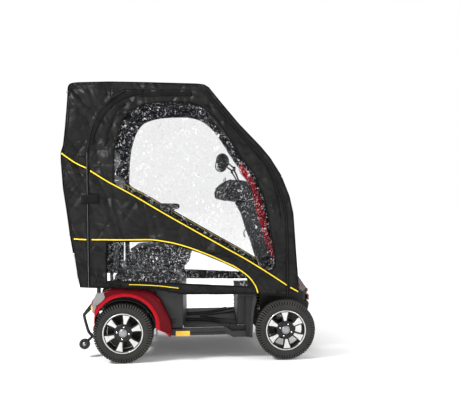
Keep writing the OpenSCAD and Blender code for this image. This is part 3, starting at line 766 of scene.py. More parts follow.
def canopy_side(side_name, side):
    door = "door_%s_body" % side_name
    for strip, shape, flat in STRIPS:
        fixed, area = side_cloth("canopy_%s_quarter_%s" % (strip, side_name), shape, [], CLOTH,
                                 side)
        part(fixed, "chassis", "canopy_cloth", "canopy_sides")
    panel, area = side_cloth("door_cloth_" + side_name, DOOR_OUTLINE,
                             [UPPER_WINDOW, LOWER_WINDOW], CLOTH, side)
    part(panel, door, "canopy_cloth", "door_" + side_name)
    for window, hole, finish in WINDOWS:
        shape = grown(hole, 7)
        film, area = side_cloth("window_%s_%s" % (window, side_name), shape, [], finish, side,
                                10, -2.4, film_ripple, 0)
        nodes = ["door_windows_" + side_name] if window == "upper" else []
        part(film, door, "clear_film", *nodes)
    for name, line, body in (("rear", PIPE_UPPER, "chassis"), ("door", PIPE_DOOR, door),
                             ("front", PIPE_FRONT, "chassis"),
                             ("rear_low", PIPE_REAR_LOW, "chassis"),
                             ("door_low", PIPE_DOOR_LOW, door)):
        part(cord("piping_%s_%s" % (name, side_name), line, side, PIPING, 3.7, 2.6), body)
        part(ribbon("piping_%s_tape_%s" % (name, side_name), line, side, CLOTH_DARK, 15, 0.9),
             body)
    part(cord("piping_skirt_" + side_name, PIPE_SKIRT, side, PIPING, 2.4, 2.0), door)
    hem = [(x, z + 7) for x, z in [(584, 376)] + SKIRT_LINE[1:-1] + [(-586, 447)]]
    part(ribbon("door_hem_" + side_name, hem, side, CLOTH_DARK, 13, 1.0, False), door)
    for window, hole, _ in WINDOWS:
        edge = grown(hole, 3)
        part(ribbon("window_binding_%s_%s" % (window, side_name), edge + edge[:2], side,
                    CLOTH_DARK, 9, 0.9, False), door)
    for zip_name, line in (("rear", [(-588, 452)] + DOOR_LINE[1:6]), ("front", DOOR_LINE[6:])):
        part(ribbon("zip_tape_%s_%s" % (zip_name, side_name), line, side, CLOTH_DARK, 18, 1.1,
                    False), "chassis")
        path = [Vector(p) for p in on_cloth(line, side, 2.6, 1.6, False)]
        upright = [p for p in path if zip_name == "rear" and p.z < ZIP_TOP]
        curved = [p for p in path if p not in upright]
        for run_name, run, finish in (("upright", upright, ZIP_TEETH), ("curved", curved, ZIP)):
            if run:
                part(tube("zip_%s_%s_%s" % (run_name, zip_name, side_name), run,
                          lambda t, n=len(run): 1.5 + 0.9 * (round(t * (n - 1)) % 2), finish, 6),
                     "chassis")


both(canopy_side)


# ---------------------------------------------------------------- canopy top, back and front

def rounded_line(points, step, pull=0.35):
    """A polyline with its corners softened, resampled evenly."""
    pts = np.array(spaced(points, step), float)
    for _ in range(2):
        middle = (pts[:-2] + pts[2:]) / 2
        pts[1:-1] += pull * (middle - pts[1:-1])
    return pts


def sheet_offset(x, y, z, seed, amount):
    """Folds in a sheet that spans the canopy from side to side."""
    along = z - 0.6 * x
    soft = 3.0 * value_noise(along / 230, y / 200, seed)
    folds = (2.0 * creases(along, y, 28, 42, 190, seed + 1)
             + 1.8 * creases(along, y, -40, 38, 170, seed + 2)
             + 1.4 * creases(along, y, 84, 30, 200, seed + 3) - 1.6)
    return amount * (soft + folds)


def cross_sheet(name, line, node, seed, amount, gap=None, sag=0.0, finish=CLOTH, thickness=1.6,
                half=SKIN_Y, round_edge=13, lift=0.0, step=14, held="stretched",
                rests_on="canopy_frame", slot="canopy_cloth"):
    """A sheet swept across the canopy along a side-view line, its edges turned down.

    gap is (low, high, half width), with heights in Z; cells inside it are left out.
    """
    path = rounded_line(line, step)
    low, high, gap_half = gap or (0, 0, 0)
    for m in (low, high) if gap else ():
        if path[:, 1].min() < m < path[:, 1].max():
            path[np.argmin(np.abs(path[:, 1] - m)), 1] = m
    tangent = np.gradient(path, axis=0)
    tangent /= np.linalg.norm(tangent, axis=1)[:, None]
    normal = np.stack([-tangent[:, 1], tangent[:, 0]], 1)
    inner = half - round_edge
    ys = list(np.linspace(-inner, inner, int(2 * inner / step) + 1))
    for m in (-gap_half, gap_half) if gap else ():
        ys[int(np.argmin(np.abs(np.array(ys) - m)))] = m
    drops = [0.0] * len(ys)
    if round_edge:
        turns = [math.radians(a) for a in (22, 45, 68, 90)]
        ys = ([-inner - round_edge * math.sin(t) for t in turns[::-1]] + ys
              + [inner + round_edge * math.sin(t) for t in turns])
        edge = [round_edge * (1 - math.cos(t)) for t in turns]
        drops = edge[::-1] + drops + edge
    ys, drops = np.array(ys), np.array(drops)
    rows, cols, verts = len(path), len(ys), []
    for i, (p, n) in enumerate(zip(path, normal)):
        near_edge = np.minimum(inner + 1 - np.abs(ys), min(i, rows - 1 - i) * step) / 60
        out = (sheet_offset(p[0], ys, p[1], seed, amount) * np.clip(near_edge, 0, 1) - drops + lift
               - sag * math.sin(math.pi * i / (rows - 1)) * (1 - (ys / half) ** 2))
        verts += [(p[0] + n[0] * o, y, p[1] + n[1] * o) for y, o in zip(ys, out)]

    def open_cell(face):
        i, k = divmod(face[0], cols)
        return (low < (path[i, 1] + path[i + 1, 1]) / 2 < high
                and abs((ys[k] + ys[k + 1]) / 2) < gap_half)

    faces = [f for f in grid_faces(rows, cols) if not open_cell(f)]
    obj = make_object(name, verts, faces, finish)
    bm = bmesh.new()
    bm.from_mesh(obj.data)
    bmesh.ops.delete(bm, geom=[v for v in bm.verts if not v.link_faces], context="VERTS")
    bm.to_mesh(obj.data)
    bm.free()
    if thickness:
        thickened(obj, thickness, -1)
    part(obj, "chassis", slot, *([node] if node else []))


ROOF_SHEET = [(-692, 1600), (-690, 1630), (-678, 1646), (-640, 1652)] + ROOF_LINE[4:]
SCREEN_LINE = [p for p in spaced(SLOPE_LINE, 20) if 1118 < p[1] < 1590]
BACK_WINDOW_LINE = [p for p in spaced(REAR_LINE, 20) if 748 < p[1] < 1172]
CLEAR = {"sag": 4, "finish": FILM, "thickness": 0, "round_edge": 0, "lift": -2.5,
         "slot": "clear_film"}
cross_sheet("canopy_roof_cloth", ROOF_SHEET, "canopy_roof", 5, 1.1, sag=7)
cross_sheet("canopy_back_cloth", REAR_LINE + [(-692, 1604)], "canopy_back", 15, 1.0,
            (760, 1160, 210))
cross_sheet("canopy_slope_cloth", [(128, 1625)] + SLOPE_LINE + [(566, 1070)], "canopy_front", 25,
            0.8, (1130, 1577, 250))
cross_sheet("canopy_front_cloth", [(563, 1078)] + FRONT_LINE[1:], "canopy_front", 35, 0.9,
            (400, 566, 156))
cross_sheet("windscreen_film", SCREEN_LINE, "windscreen", 45, 0.45, half=258,
            rests_on="canopy_slope_cloth", **CLEAR)
cross_sheet("rear_window_film", BACK_WINDOW_LINE, "rear_window", 55, 0.5, half=218,
            rests_on="canopy_back_cloth", **CLEAR)
cross_sheet("rain_flap", [(-737, 1247), (-741, 1236), (-748, 1212), (-753, 1186), (-754, 1168)],
            None, 65, 0.5, half=226, round_edge=0, step=6, held="hung",
            rests_on="canopy_back_cloth")

# Piping cords along the seams where a cross sheet meets the side cloth.
for name, line, radius, low, high in (("rear", REAR_LINE + [(-692, 1596)], 2.4, 440, 1600),
                                      ("roof", ROOF_SHEET, 2.6, 1600, 1700),
                                      ("slope", SLOPE_LINE, 2.4, 1090, 1630),
                                      ("front", FRONT_LINE, 2.4, 400, 1090)):
    path = [p for p in rounded_line(line, 10) if low <= p[1] <= high]
    for side_name, side in SIDES:
        part(tube("seam_%s_%s" % (name, side_name),
                  [(p[0], side * (SKIN_Y + 1), p[1]) for p in path], radius, CLOTH_DARK, 8),
             "chassis")
for name, line, half in (
        ("windscreen", [(p[0] + 0.5, p[1]) for p in SCREEN_LINE if 1128 < p[1] < 1579], 251),
        ("rear_window", [p for p in BACK_WINDOW_LINE if 758 < p[1] < 1162], 211)):
    loop = [(p[0], -half, p[1]) for p in line] + [(p[0], half, p[1]) for p in line[::-1]]
    part(tube(name + "_binding", spaced(loop, 14, True), 4.5, CLOTH_DARK, 8, 0.55, True),
         "chassis")

# Flat tapes that go with the doors: name, line, width, and whether the line is curved.
TAPES = (("roof_tape", [(-278, 1582), (-120, 1584), (30, 1584)], 26, False),
         ("corner_tape", [(-482, 1280), (-470, 1330), (-452, 1400), (-414, 1480), (-360, 1530)],
          13, True),
         ("storm_flap", [(-562, 1290), (-546, 1370), (-500, 1460), (-430, 1535), (-350, 1580),
                         (-250, 1596)], 30, True),
         ("slope_tape", [(128, 1560), (210, 1460), (330, 1320), (440, 1190), (500, 1080),
                         (534, 960), (552, 850)], 8, True))
REAR_SEAMS = ([(-700, 1600), (-640, 1500), (-600, 1405)],
              [(-735, 1250), (-690, 1235), (-640, 1225), (-598, 1222)],
              [(-700, 760), (-650, 770), (-600, 774)])
for side_name, side in SIDES:
    tab = ribbon("zip_flap_" + side_name, [(-624, 970), (-572, 970), (-522, 969)], side,
                 CLOTH_DARK, 54, 4.0, False, 2.2)
    part(tab, "chassis")
    for name, line, width, curved in TAPES:
        part(ribbon("%s_%s" % (name, side_name), line, side, CLOTH_DARK, width, 1.2, curved),
             "door_%s_body" % side_name)
    for index, line in enumerate(REAR_SEAMS):
        part(cord("rear_seam_%d_%s" % (index, side_name), line, side, CLOTH, 1.6, 1.2), "chassis")
    # A silver strip stands in for the glint on the rear film's lower edge: a painted highlight.
    part(ribbon("rear_clear_strip_" + side_name, [(-651, 476), (-661, 560), (-674, 655)], side,
                SILVER, 9, 3.2, True, 1.2), "chassis")


# ---------------------------------------------------------------- wheels

BLOCKS = 66             # tread blocks in each row of a tyre
# Tread rows: inner and outer Y, inner and outer radius, shift in block pitches.
TREAD_ROWS = ((24, 44.6, 153, 177.4, 0.5), (-44.6, -24, 153, 177.4, 0.5),
              (2.5, 21, 168, 177.5, 0.0), (-21, -2.5, 168, 177.5, 0.5))
BLOCK_FACES = [(0, 1, 3, 2), (4, 6, 7, 5), (0, 4, 5, 1), (2, 3, 7, 6), (0, 2, 6, 4), (1, 5, 7, 3)]


def placed(obj, centre, side):
    """Moves a piece drawn round the origin to a wheel centre, mirrored for the right side."""
    matrix = Matrix.Translation([c * MM for c in centre])
    if side < 0:
        matrix = matrix @ Matrix.Scale(-1, 4, (0, 1, 0))
    obj.data.transform(matrix)
    if side < 0:
        obj.data.flip_normals()
    return obj


def tyre(name, centre, side):
    """A wide tyre: rounded sidewalls with rings, and four rows of blocks."""
    section = [(112, -34), (117, -38), (124, -40.5), (136, -43), (140, -44.4), (142, -43.6),
               (149, -44.2), (152, -43.8), (158, -41), (164, -36), (168, -30), (169.5, -15),
               (170, 0)]
    profile = section + [(r, -w) for r, w in section[:-1][::-1]]
    profile += [(114, 30), (112, 20), (112, -20), (114, -30)]
    body = lathe("carcass", profile, ORIGIN, RUBBER, 1, 120, True)
    # The carcass under the tread blocks takes the painted groove shade.
    body.data.materials.append(GROOVE_SHADE)
    for poly in body.data.polygons:
        poly.material_index = int(math.hypot(poly.center.x, poly.center.z) > 154 * MM)
    blocks = []
    half_block = math.pi / BLOCKS * 0.56
    for i in range(BLOCKS):
        for row, (y0, y1, r0, r1, shift) in enumerate(TREAD_ROWS):
            t = 2 * math.pi * i / BLOCKS + shift * 2 * math.pi / BLOCKS
            lean = 0.012 * (1 if row % 2 else -1)
            verts, outer = [], y1 if abs(y1) > abs(y0) else y0
            for y in (y0, y1):
                drop = 5.0 if y == outer and row < 2 else 0
                for r, spread in ((r0, half_block), (r1 - drop, half_block * 0.94)):
                    for s in (-1, 1):
                        b = t + s * spread + lean * (1 if y == y1 else -1)
                        verts.append((r * math.cos(b), y, r * math.sin(b)))
            blocks.append(make_object("block", verts, BLOCK_FACES, TREAD, False))
    return placed(recalc(joined(name, [body, joined("blocks", blocks)])), centre, side)


# The turned parts of a rim: profile, material, steps, closed.
RIM_PARTS = (([(113, -33), (117, -35), (117, -30), (110, -26), (106, -10), (105, 12), (108, 26),
               (112, 32), (117.5, 37), (119, 40), (117, 42), (113, 41), (108, 36), (104, 28),
               (101, 12), (101, -10), (106, -29), (110, -34)], BLACK, 96, True),
             ([(111.6, 40.6), (113, 41.9), (116.6, 42.8), (118.4, 42.3), (119.4, 40.4),
               (115, 39.4)], SILVER, 96, True),
             ([(0.5, 12), (50, 12), (54, 18), (55, 26), (52, 31), (46, 33), (40, 33.5), (30, 31),
               (24, 31), (0.5, 31)], BLACK, 72, False),
             ([(20, 30), (20.5, 36), (19, 38), (15, 39.2), (8, 40), (0.5, 40.2)], GREY_METAL, 48,
              False),
             ([(20.5, 31), (25, 32), (24, 35), (20.5, 36)], GREY_METAL, 48, True))
# A spoke's black body, then its bright machined face: from and to radius, half widths there,
# low and high Y at each end, material, bevel.
SPOKE_PARTS = ((42, 108, 14, 26, (14, 30, 24, 37), BLACK, 2.0),
               (54, 107, 7.0, 20.5, (28, 33.2, 33, 39.6), SILVER, 0.8))


def wheel(name, centre, side, spoke_phase, nut_phase, drum_r):
    """Alloy rim: black barrel, six tapered machined spokes, cap, nuts and a bright lip."""
    parts = [lathe("turned", profile, ORIGIN, finish, 1, steps, closed)
             for profile, finish, steps, closed in RIM_PARTS]
    for i in range(6):
        a = math.radians(spoke_phase - 90 + 60 * i)
        c, s = math.cos(a), math.sin(a)
        for inner, outer, near, far, (low0, high0, low1, high1), finish, bevel in SPOKE_PARTS:
            verts = []
            for r, w, low, high in ((inner, near, low0, high0),
                                    ((inner + outer) / 2, near + (far - near) * 0.42,
                                     (low0 + low1) / 2, (high0 + high1) / 2 - 0.6),
                                    (outer, far, low1, high1)):
                verts += [(x * c - r * s, y, x * s + r * c)
                          for x, y in ((-w, low), (w, low), (w, high), (-w, high))]
            faces = [(0, 3, 2, 1), (8, 9, 10, 11)] + grid_faces(3, 4, True)
            parts.append(bevelled(recalc(make_object("spoke", verts, faces, finish)), bevel, 2))
    for i in range(4):
        a = math.radians(nut_phase + 90 * i)
        nut = lathe("nut", [(5.5, 30), (5.8, 33), (4.8, 35.5), (0.5, 36)], ORIGIN, CHROME, 1, 6)
        parts.append(moved(nut, (36 * MM * math.cos(a), 0, 36 * MM * math.sin(a))))
    parts.append(lathe("drum", [(24.5, -30), (drum_r * 0.6, -29), (drum_r * 0.92, -24),
                                (drum_r, -18), (drum_r, -15), (drum_r * 0.92, -20),
                                (drum_r * 0.6, -24), (36, -24), (34, 10), (50, 14)],
                       ORIGIN, BLACK_STEEL, 1, 64))
    return placed(recalc(joined(name, parts)), centre, side)


# Each axle's spoke and nut angles, which the photograph shows, and its brake drum's radius.
for end_name, axle, turns in (("rear", REAR_AXLE, (78, 82, 101)),
                              ("front", FRONT_AXLE, (93, 69, 66))):
    for side_name, side in SIDES:
        place = (axle[0], side * WHEEL_Y, axle[1])
        corner = "%s_%s" % (end_name, side_name)
        part(tyre("tyre_" + corner, place, side), corner + "_wheel", "tyre_rubber",
             corner + "_tyre")
        part(wheel("rim_" + corner, place, side, *turns), corner + "_wheel", "rim_alloy",
             corner + "_rim")


# ---------------------------------------------------------------- fenders and rear end

ARCH = (-375.0, 215.0)
# Outline of the fender seen from the side, as (angle in degrees, radius) about the arch centre.
FENDER = [(-13, 274), (-1, 277), (9, 268), (20, 257), (30, 256), (38, 262), (52, 257), (66, 236),
          (83, 219), (100, 230), (112, 241), (120, 245), (127, 247), (134, 238), (144, 221),
          (157, 194), (172, 181), (178, 180)]
FENDER_INNER = [(-13, 262), (-12, 259), (-8, 234), (-5.4, 192), (-4, 180)]
# The lip in section, as (distance from the inner edge, Y).
FENDER_LIP = [(0.0, 300.0), (0.0, 341.5), (2.0, 344.6), (6.0, 346.0), (13.0, 346.4),
              (20.0, 345.2), (24.0, 342.8), (27.0, 341.2)]
FENDER_STEPS = 90
FENDER_ENDS = (-13, 176)
TYRE_CLEAR_Y = 341.2    # the lip's hidden edge stays outside the tyre here, for the suspension


def radius_at(table, angle):
    return float(np.interp(angle, *zip(*table)))


def fender(name, side):
    """A moulded wheel arch: raised lip, dished face, rolled outer edge and a crown."""
    first, last = FENDER_ENDS
    verts = []
    for i in range(FENDER_STEPS + 1):
        a = first + (last - first) * i / FENDER_STEPS
        t = math.radians(a)
        outer, inner = radius_at(FENDER, a), radius_at(FENDER_INNER, a)
        edge = max(min(outer - (inner + 27), 26), 4)
        row = [(min(inner + dr, outer - 4), y) for dr, y in FENDER_LIP]
        row += [(outer - edge + edge * 0.2, 341.0), (outer - edge * 0.45, 339.5),
                (outer - edge * 0.2, 336.0), (outer - edge * 0.05, 329.0), (outer, 318.0),
                (outer + 0.5, 302.0), (outer - 1.0, 272.0), (outer - 3.0, 240.0)]
        if a > 138 or a < 14:
            row[0] = (row[0][0], TYRE_CLEAR_Y)
        for r, y in row:
            x = ARCH[0] + r * math.cos(t)
            verts.append((x, side * (302.0 if y < 302 and x > -208 else y),
                          ARCH[1] + r * math.sin(t)))
    cols = len(row)
    obj = recalc(make_object(name, verts, grid_faces(FENDER_STEPS + 1, cols),
                             [RED, RED_SHADED, BLACK]))
    # The lip takes the red paint; the face and rolled edge beyond it take its darker copy as
    # painted shade.
    for poly in obj.data.polygons:
        k = min(v % cols for v in poly.vertices)
        poly.material_index = 2 if k < 1 else 0 if k < 6 else 1
    with_modifier(obj, "SOLIDIFY", thickness=2.2 * MM, offset=-1)
    return apply_modifiers(with_modifier(obj, "SUBSURF", levels=1, render_levels=1))


def rear_end(side_name, side):
    part(fender("fender_" + side_name, side), "chassis", "red_paint", "rear_fenders")
    liner = [(REAR_AXLE[0] + r * math.cos(math.radians(a)),
              REAR_AXLE[1] + r * math.sin(math.radians(a)))
             for r, angles in ((201, range(-4, 146, 6)), (198, range(140, -5, -6)))
             for a in angles]
    part(plate("fender_liner_" + side_name, liner, side, 303, 341, BLACK, 0.4, 1), "chassis")
    # Tail lamp: clear lens over red and amber inserts, wrapped round the fender's rear corner.
    back = plate("lens_back", [(-546, 300), (-558, 300), (-566, 312), (-569, 350), (-562, 384),
                               (-548, 398), (-534, 396), (-538, 350)], side, 262, 343,
                 CLEAR_LENS, 5)
    wrap = plate("wrap", [(-541, 419), (-495, 425), (-488, 391), (-503, 374), (-532, 350),
                          (-555, 348), (-553, 384)], side, 330, 345.5, CLEAR_LENS, 3)
    part(joined("tail_lamp_" + side_name, [back, wrap]), "chassis", "lens", "tail_lights")
    part(plate("tail_lamp_red_" + side_name, [(-561, 352), (-570, 352), (-567, 372), (-558, 386)],
               side, 270, 344, RED_LENS, 2), "chassis", "lens")
    part(plate("tail_lamp_amber_" + side_name,
               [(-560, 318), (-570, 322), (-571, 344), (-561, 344)], side, 270, 344, AMBER, 2),
         "chassis", "lens")
    part(plate("side_reflector_" + side_name, corners(-82, 3, 148, 179), side, 300, 304.5, AMBER,
               2), "chassis")
    castor = [lathe("castor", profile, (-643, side * 197, 86), finish, side, steps, closed)
              for profile, finish, steps, closed in (
                  ([(14, -9), (26, -10.5), (30, -9), (32, -5), (32.4, 0), (32, 5), (30, 9),
                    (26, 10.5), (14, 9)], RUBBER, 48, True),
                  ([(0.5, 11), (7, 11), (8, 9), (15, 8), (16, 4), (16, -4), (15, -8), (8, -9),
                    (0.5, -11)], GREY_METAL, 32, False),
                  ([(6, 10.5), (6, 14), (4.5, 16), (0.5, 16.5)], SILVER, 12, False))]
    part(joined("anti_tip_%s_wheel" % side_name, castor), "anti_tip_%s_body" % side_name, None,
         "anti_tip_wheel_" + side_name)


both(rear_end)


# ---------------------------------------------------------------- body, deck and nose

def body_cover():
    shells = [slab("shell", low, high, GREY, bevel, 5) for low, high, bevel in (
        ((-204, -285, 200), (-37, 285, 429), 10), ((-528, -234, 300), (-190, 234, 429), 16),
        ((-462, -180, 420), (-60, 180, 504), 14))]
    ribs = [slab("rib", (-440 + 38 * k, -183, 436), (-424 + 38 * k, 183, 490), BLACK, 4, 3)
            for k in range(10)]
    part(joined("body_cover_shell", shells + ribs), "chassis", "grey_plastic", "body_cover")


def body_side(side_name, side):
    """Side panel with two moulded ribs and a fixing screw."""
    parts = [plate("panel", [(-192, 194), (-38, 194), (-38, 412), (-50, 422), (-100, 422),
                             (-186, 422), (-197, 410), (-197, 200)], side, 283, 291, GREY, 4)]
    for z in (224, 242):
        parts.append(plate("rib", [(-168, z), (-80, z), (-77, z + 4), (-80, z + 8), (-168, z + 8),
                                   (-171, z + 4)], side, 289, 294.5, BLACK, 1.6, 2))
    parts.append(lathe("screw", [(0.5, 0), (6, 0), (7, 2), (5, 4), (0.5, 4.4)],
                       (-120, side * 290, 405), BLACK_STEEL, side, 16))
    part(joined("body_side_" + side_name, parts), "chassis", "grey_plastic")


SWAGES = (((-30, 60), (120, 90), (286, 240)), ((-30, 110), (120, 140), (240, 262)),
          ((60, 0), (160, 60), (286, 120)))
SILL = [(-115, 150), (-115, 191), (226, 191), (254, 170), (338, 170), (338, 134), (262, 134),
        (232, 150)]


def deck():
    parts = [slab("plate", (-36, -268, 190.2), (290, 268, 195), DECK, 1.5)]
    for _, side in SIDES:
        parts += [tube("swage", smooth_path([(x, side * y, 195.6) for x, y in line], 8), 10, DECK,
                       8, 0.28) for line in SWAGES]
        parts += [plate("sill", SILL, side, 270, 300, GREY, 5, 4),
                  plate("skirt", [(205, 155), (205, 194), (288, 200), (343, 200), (343, 150)],
                        side, 262, 271, BLACK, 2, 2),
                  plate("groove", [(-60, 163), (215, 163), (219, 167), (215, 171), (-60, 171),
                                   (-64, 167)], side, 299, 302, BLACK, 1.2, 2)]
    part(joined("floor_and_sills", parts), "chassis", "grey_plastic", "floor_deck")


def footwell():
    parts = [slab("wall", (291, -250, 197), (296, 250, 380), GREY, 2),
             slab("shelf", (290, -299, 376), (402, 299, 381), GREY, 2)]
    for z in range(228, 341, 28):
        parts.append(extruded("rib", [(288, z), (293, z - 3), (293, z + 11), (288, z + 8)], -225,
                              225, GREY, 1, 2))
    edge = [(376, 131), (379, 182), (383, 249), (391, 311), (402, 350), (402, 381)]
    band = edge + [(384, 381), (380, 352), (374, 311), (367, 249), (363, 182), (360, 131)]
    for _, side in SIDES:
        parts += [plate("return", corners(292, 343, 197, 381), side, 247, 250, GREY, 1),
                  plate("flange", [(338, 134)] + edge + [(338, 381)], side, 294, 300, BLACK, 2.5,
                        3),
                  plate("band", band, side, 297, 305, GREY, 2.2, 3),
                  plate("cheek", corners(338, 343, 134, 381), side, 247, 299, GREY, 1)]
    part(joined("footwell_shell", parts), "chassis", "grey_plastic", "footwell_panel")


NOSE_OUTLINE = [(606, 238), (606, 470), (606, 556), (640, 560), (676, 556), (682, 500),
                (690, 466), (712, 432), (738, 400), (753, 382), (755, 358), (754, 332),
                (747, 294), (735, 252), (715, 234), (660, 229)]
NOSE_STATIONS = [20, 45, 70, 92, 112, 128, 139, 146, 149.5]
NOSE_BACK, NOSE_DEPTH, NOSE_MIDDLE = 606, 149, 395


def nose_shell():
    """Nose cowl lofted across the scooter, narrowing and rounding towards its sides."""
    verts = []
    ys = [-s for s in NOSE_STATIONS[::-1]] + [-0.0] + NOSE_STATIONS
    for y in ys:
        t = abs(y) / 150
        pull = 30 * t ** 3 + 14 * t ** 12
        shrink = 1 - 0.08 * t ** 14
        verts += [(x - pull * min(max((x - NOSE_BACK) / NOSE_DEPTH, 0), 1), y,
                   NOSE_MIDDLE + (z - NOSE_MIDDLE) * shrink) for x, z in NOSE_OUTLINE]
    n = len(NOSE_OUTLINE)
    faces = grid_faces(len(ys), n, True)
    faces += [tuple(range(n)), tuple((len(ys) - 1) * n + k for k in range(n - 1, -1, -1))]
    shell = bevelled(recalc(make_object("nose_shell", verts, faces, BLACK)), 6, 4, 30)
    bumper = extruded("nose_bumper", [(604, 236), (640, 231), (715, 236), (741, 262), (750, 300),
                                      (735, 322), (604, 322)], -151, 151, BLACK, 12, 4)
    part(joined("nose", [shell, bumper]), "chassis", "black_plastic", "nose_cowl")


def nose_side(side_name, side):
    parts = [plate("fairing", [(622, 540), (660, 520), (672, 486), (700, 446), (724, 410),
                               (726, 384), (704, 372), (676, 392), (650, 430), (630, 480)],
                   side, 118, 152, SMOKED_LENS, 6, 3),
             plate("flash", [(640, 478), (654, 474), (678, 436), (694, 412), (684, 406),
                             (664, 426)], side, 140, 153.4, RED, 1.4, 2)]
    parts += [plate("mark", [(x - 12, z), (x, z), (x, z + h), (x - 10, z + h)], side, 96, 138,
                    RED_LENS, 2, 2)
              for x, z, h in ((744, 372, 20), (750, 318, 36), (738, 268, 18))]
    part(joined("lamp_fairing_%s_set" % side_name, parts), "chassis", "lens")
    part(plate("nose_cheek_" + side_name, corners(434, 606, 238, 381), side, 146, 151, BLACK, 2),
         "chassis", "black_plastic")
    lamp = [lathe("lamp", profile, ORIGIN, finish, 1, 48, closed) for profile, finish, closed in (
        ([(24, -14), (27, -4), (26.5, 3), (22, 8), (14, 11), (0.5, 12.5)], CLEAR_LENS, False),
        ([(24, -6), (29, -6), (29.5, 0), (27.5, 4), (25, 2)], CHROME, True),
        ([(23, 1), (18, -6), (8, -11), (0.5, -12)], CHROME, False))]
    light = moved(joined("headlamp_" + side_name, lamp), (0.735, side * 0.095, 0.352), -90)
    part(light, "chassis", "lens", *(["headlights"] if side < 0 else []))


# Each pair of springs: end, X and outward Y, top, joint, finish.
SPRINGS = (("rear", -271, 205, 383, "rear_suspension", SPRING_GREY),
           ("front", 465, 120, 375, "front_suspension", SPRING_GOLD))
SPRING_FOOT, SPRING_TURNS, SPRING_RADIUS, SPRING_WIRE = 203, 8, 18.2, 2.9


def springs(side_name, side):
    for end_name, x, y, top, joint, finish in SPRINGS:
        points = []
        count = SPRING_TURNS * 20
        for i in range(count + 1):
            t = i / count
            a = 2 * math.pi * SPRING_TURNS * t
            points.append((x + SPRING_RADIUS * math.cos(a), side * y + SPRING_RADIUS * math.sin(a),
                           SPRING_FOOT + SPRING_WIRE + (top - SPRING_FOOT - 2 * SPRING_WIRE) * t))
        spring = tube("%s_spring_%s" % (end_name, side_name), points, SPRING_WIRE, finish, 8)
        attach(spring, "chassis")
        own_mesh(spring)
        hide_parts(end_name + "_springs")


body_cover()
both(body_side)
deck()
footwell()
nose_shell()
both(nose_side)
both(springs)


# ---------------------------------------------------------------- tiller, controls and mirrors

TILT_PIN = np.array([498.4, 0, 431.1])
TILLER_DIR = np.array([-0.2786, 0, 0.9604])
TILLER_ACROSS = np.array([TILLER_DIR[2], 0, -TILLER_DIR[0]])


def on_tiller(s):
    """The point a distance up the tiller from its pin."""
    return TILT_PIN + s * TILLER_DIR


def tiller_stem():
    stem = tube("tiller_tube", [on_tiller(s) for s in (66, 200, 360, 528)], 21, BLACK_STEEL, 32)
    rings = []
    for k in range(9):
        r = 34 - k * 1.2
        rings += [(r, 60 + k * 11), (r - 4.5, 65.5 + k * 11)]
    verts, steps = [], 32
    for r, s in rings:
        for i in range(steps):
            a = 2 * math.pi * i / steps
            verts.append(on_tiller(s) + TILLER_ACROSS * math.cos(a) * r
                         + np.array([0, math.sin(a) * r, 0]))
    boot = make_object("boot", verts, grid_faces(len(rings), steps, True), RUBBER)
    fork = tube("fork", [TILT_PIN, on_tiller(75)], 15, BLACK_STEEL, 24)
    boss = lathe("tilt_boss", [(12, -21), (17, -21), (17, 21), (12, 21)], TILT_PIN, BLACK_STEEL,
                 1, 32, True)
    base = on_tiller(345) + np.array([-22, 0, 0])
    bend = [base + step for step in ([0, 0, 0], [-16, 0, -2], [-28, 0, -16], [-27, 0, -44],
                                     [-18, 0, -52])]
    hook = tube("bag_hook", smooth_path(bend, 6), 3.4, BLACK_STEEL, 10)
    part(joined("tiller_stem_assembly", [stem, boot, fork, boss, hook]), "tiller", "black_steel",
         "tiller_stem")


def tiller_cowl():
    cowl = extruded("tiller_cowl_shell", [
        (523, 584), (553, 570), (545, 621), (514, 728), (494, 835), (470, 942), (452, 990),
        (431, 1046), (399, 1100), (337, 1188), (316, 1183), (331, 1130), (378, 1071), (409, 991),
        (414, 959), (429, 879), (461, 772), (492, 665)], -55, 55, RED, 9, 5)
    parts = [extruded("column_shroud", [
        (292, 939), (333, 864), (359, 773), (395, 677), (426, 570), (476, 576), (523, 584),
        (500, 665), (468, 772), (436, 879), (420, 957)], -50, 50, GREY, 12, 5)]
    for _, side in SIDES:
        for shift in (22, 62):
            path = smooth_path([(292 + shift * 0.75, 930), (333 + shift, 864), (359 + shift, 773),
                                (395 + shift, 677), (424 + shift, 586)], 5)
            parts.append(tube("ridge", [(x, side * 50, z) for x, z in path], 2.2, BLACK, 8))
    part(joined("tiller_shroud", parts), "tiller", "black_plastic")
    part(cowl, "tiller", "red_paint", "tiller_cowl")


def console():
    parts = [extruded("box", [(165, 962), (232, 950), (290, 941), (350, 948), (411, 961),
                              (406, 991), (392, 1032), (375, 1069), (350, 1078), (310, 1083),
                              (272, 1083), (232, 1068), (197, 1047), (160, 1008)], -72, 72, BLACK,
                      14, 5),
             extruded("panel", [(170, 1020), (200, 1048), (236, 1069), (270, 1082), (268, 1088),
                                (232, 1075), (196, 1054), (166, 1026)], -62, 62, GREY, 2, 3)]
    parts += [plate("cheek", [(268, 958), (340, 962), (394, 972), (388, 1010), (372, 1046),
                              (352, 1056), (300, 1052), (276, 1020)], side, 66, 75, GREY, 5, 4)
              for _, side in SIDES]
    parts += [lathe("screw", [(0.5, 0), (6.5, 0), (7, 2), (5, 3.4), (0.5, 3.6)],
                    (332, side * 74.5, 1012), CHROME, side, 20) for _, side in SIDES]
    for y in (-52, -44, 44, 52):
        knob = lathe("knob", [(0.5, 0), (5, 0), (5.5, 3), (4, 5), (0.5, 5.4)], ORIGIN,
                     SILVER if abs(y) > 50 else GREY, 1, 20)
        parts.append(moved(knob, (0.212, y * MM, 1.058), 90, "X"))
    for _, side in SIDES:
        parts += [plate("lever_mount", corners(280, 300, 1002, 1008), side, 68, 108, BLACK, 2),
                  tube("lever_pin", [(290, side * 98, 1004), (290, side * 98, 1027)], 4, CHROME,
                       16)]
    part(joined("console_assembly", parts), "tiller", "black_plastic", "console")


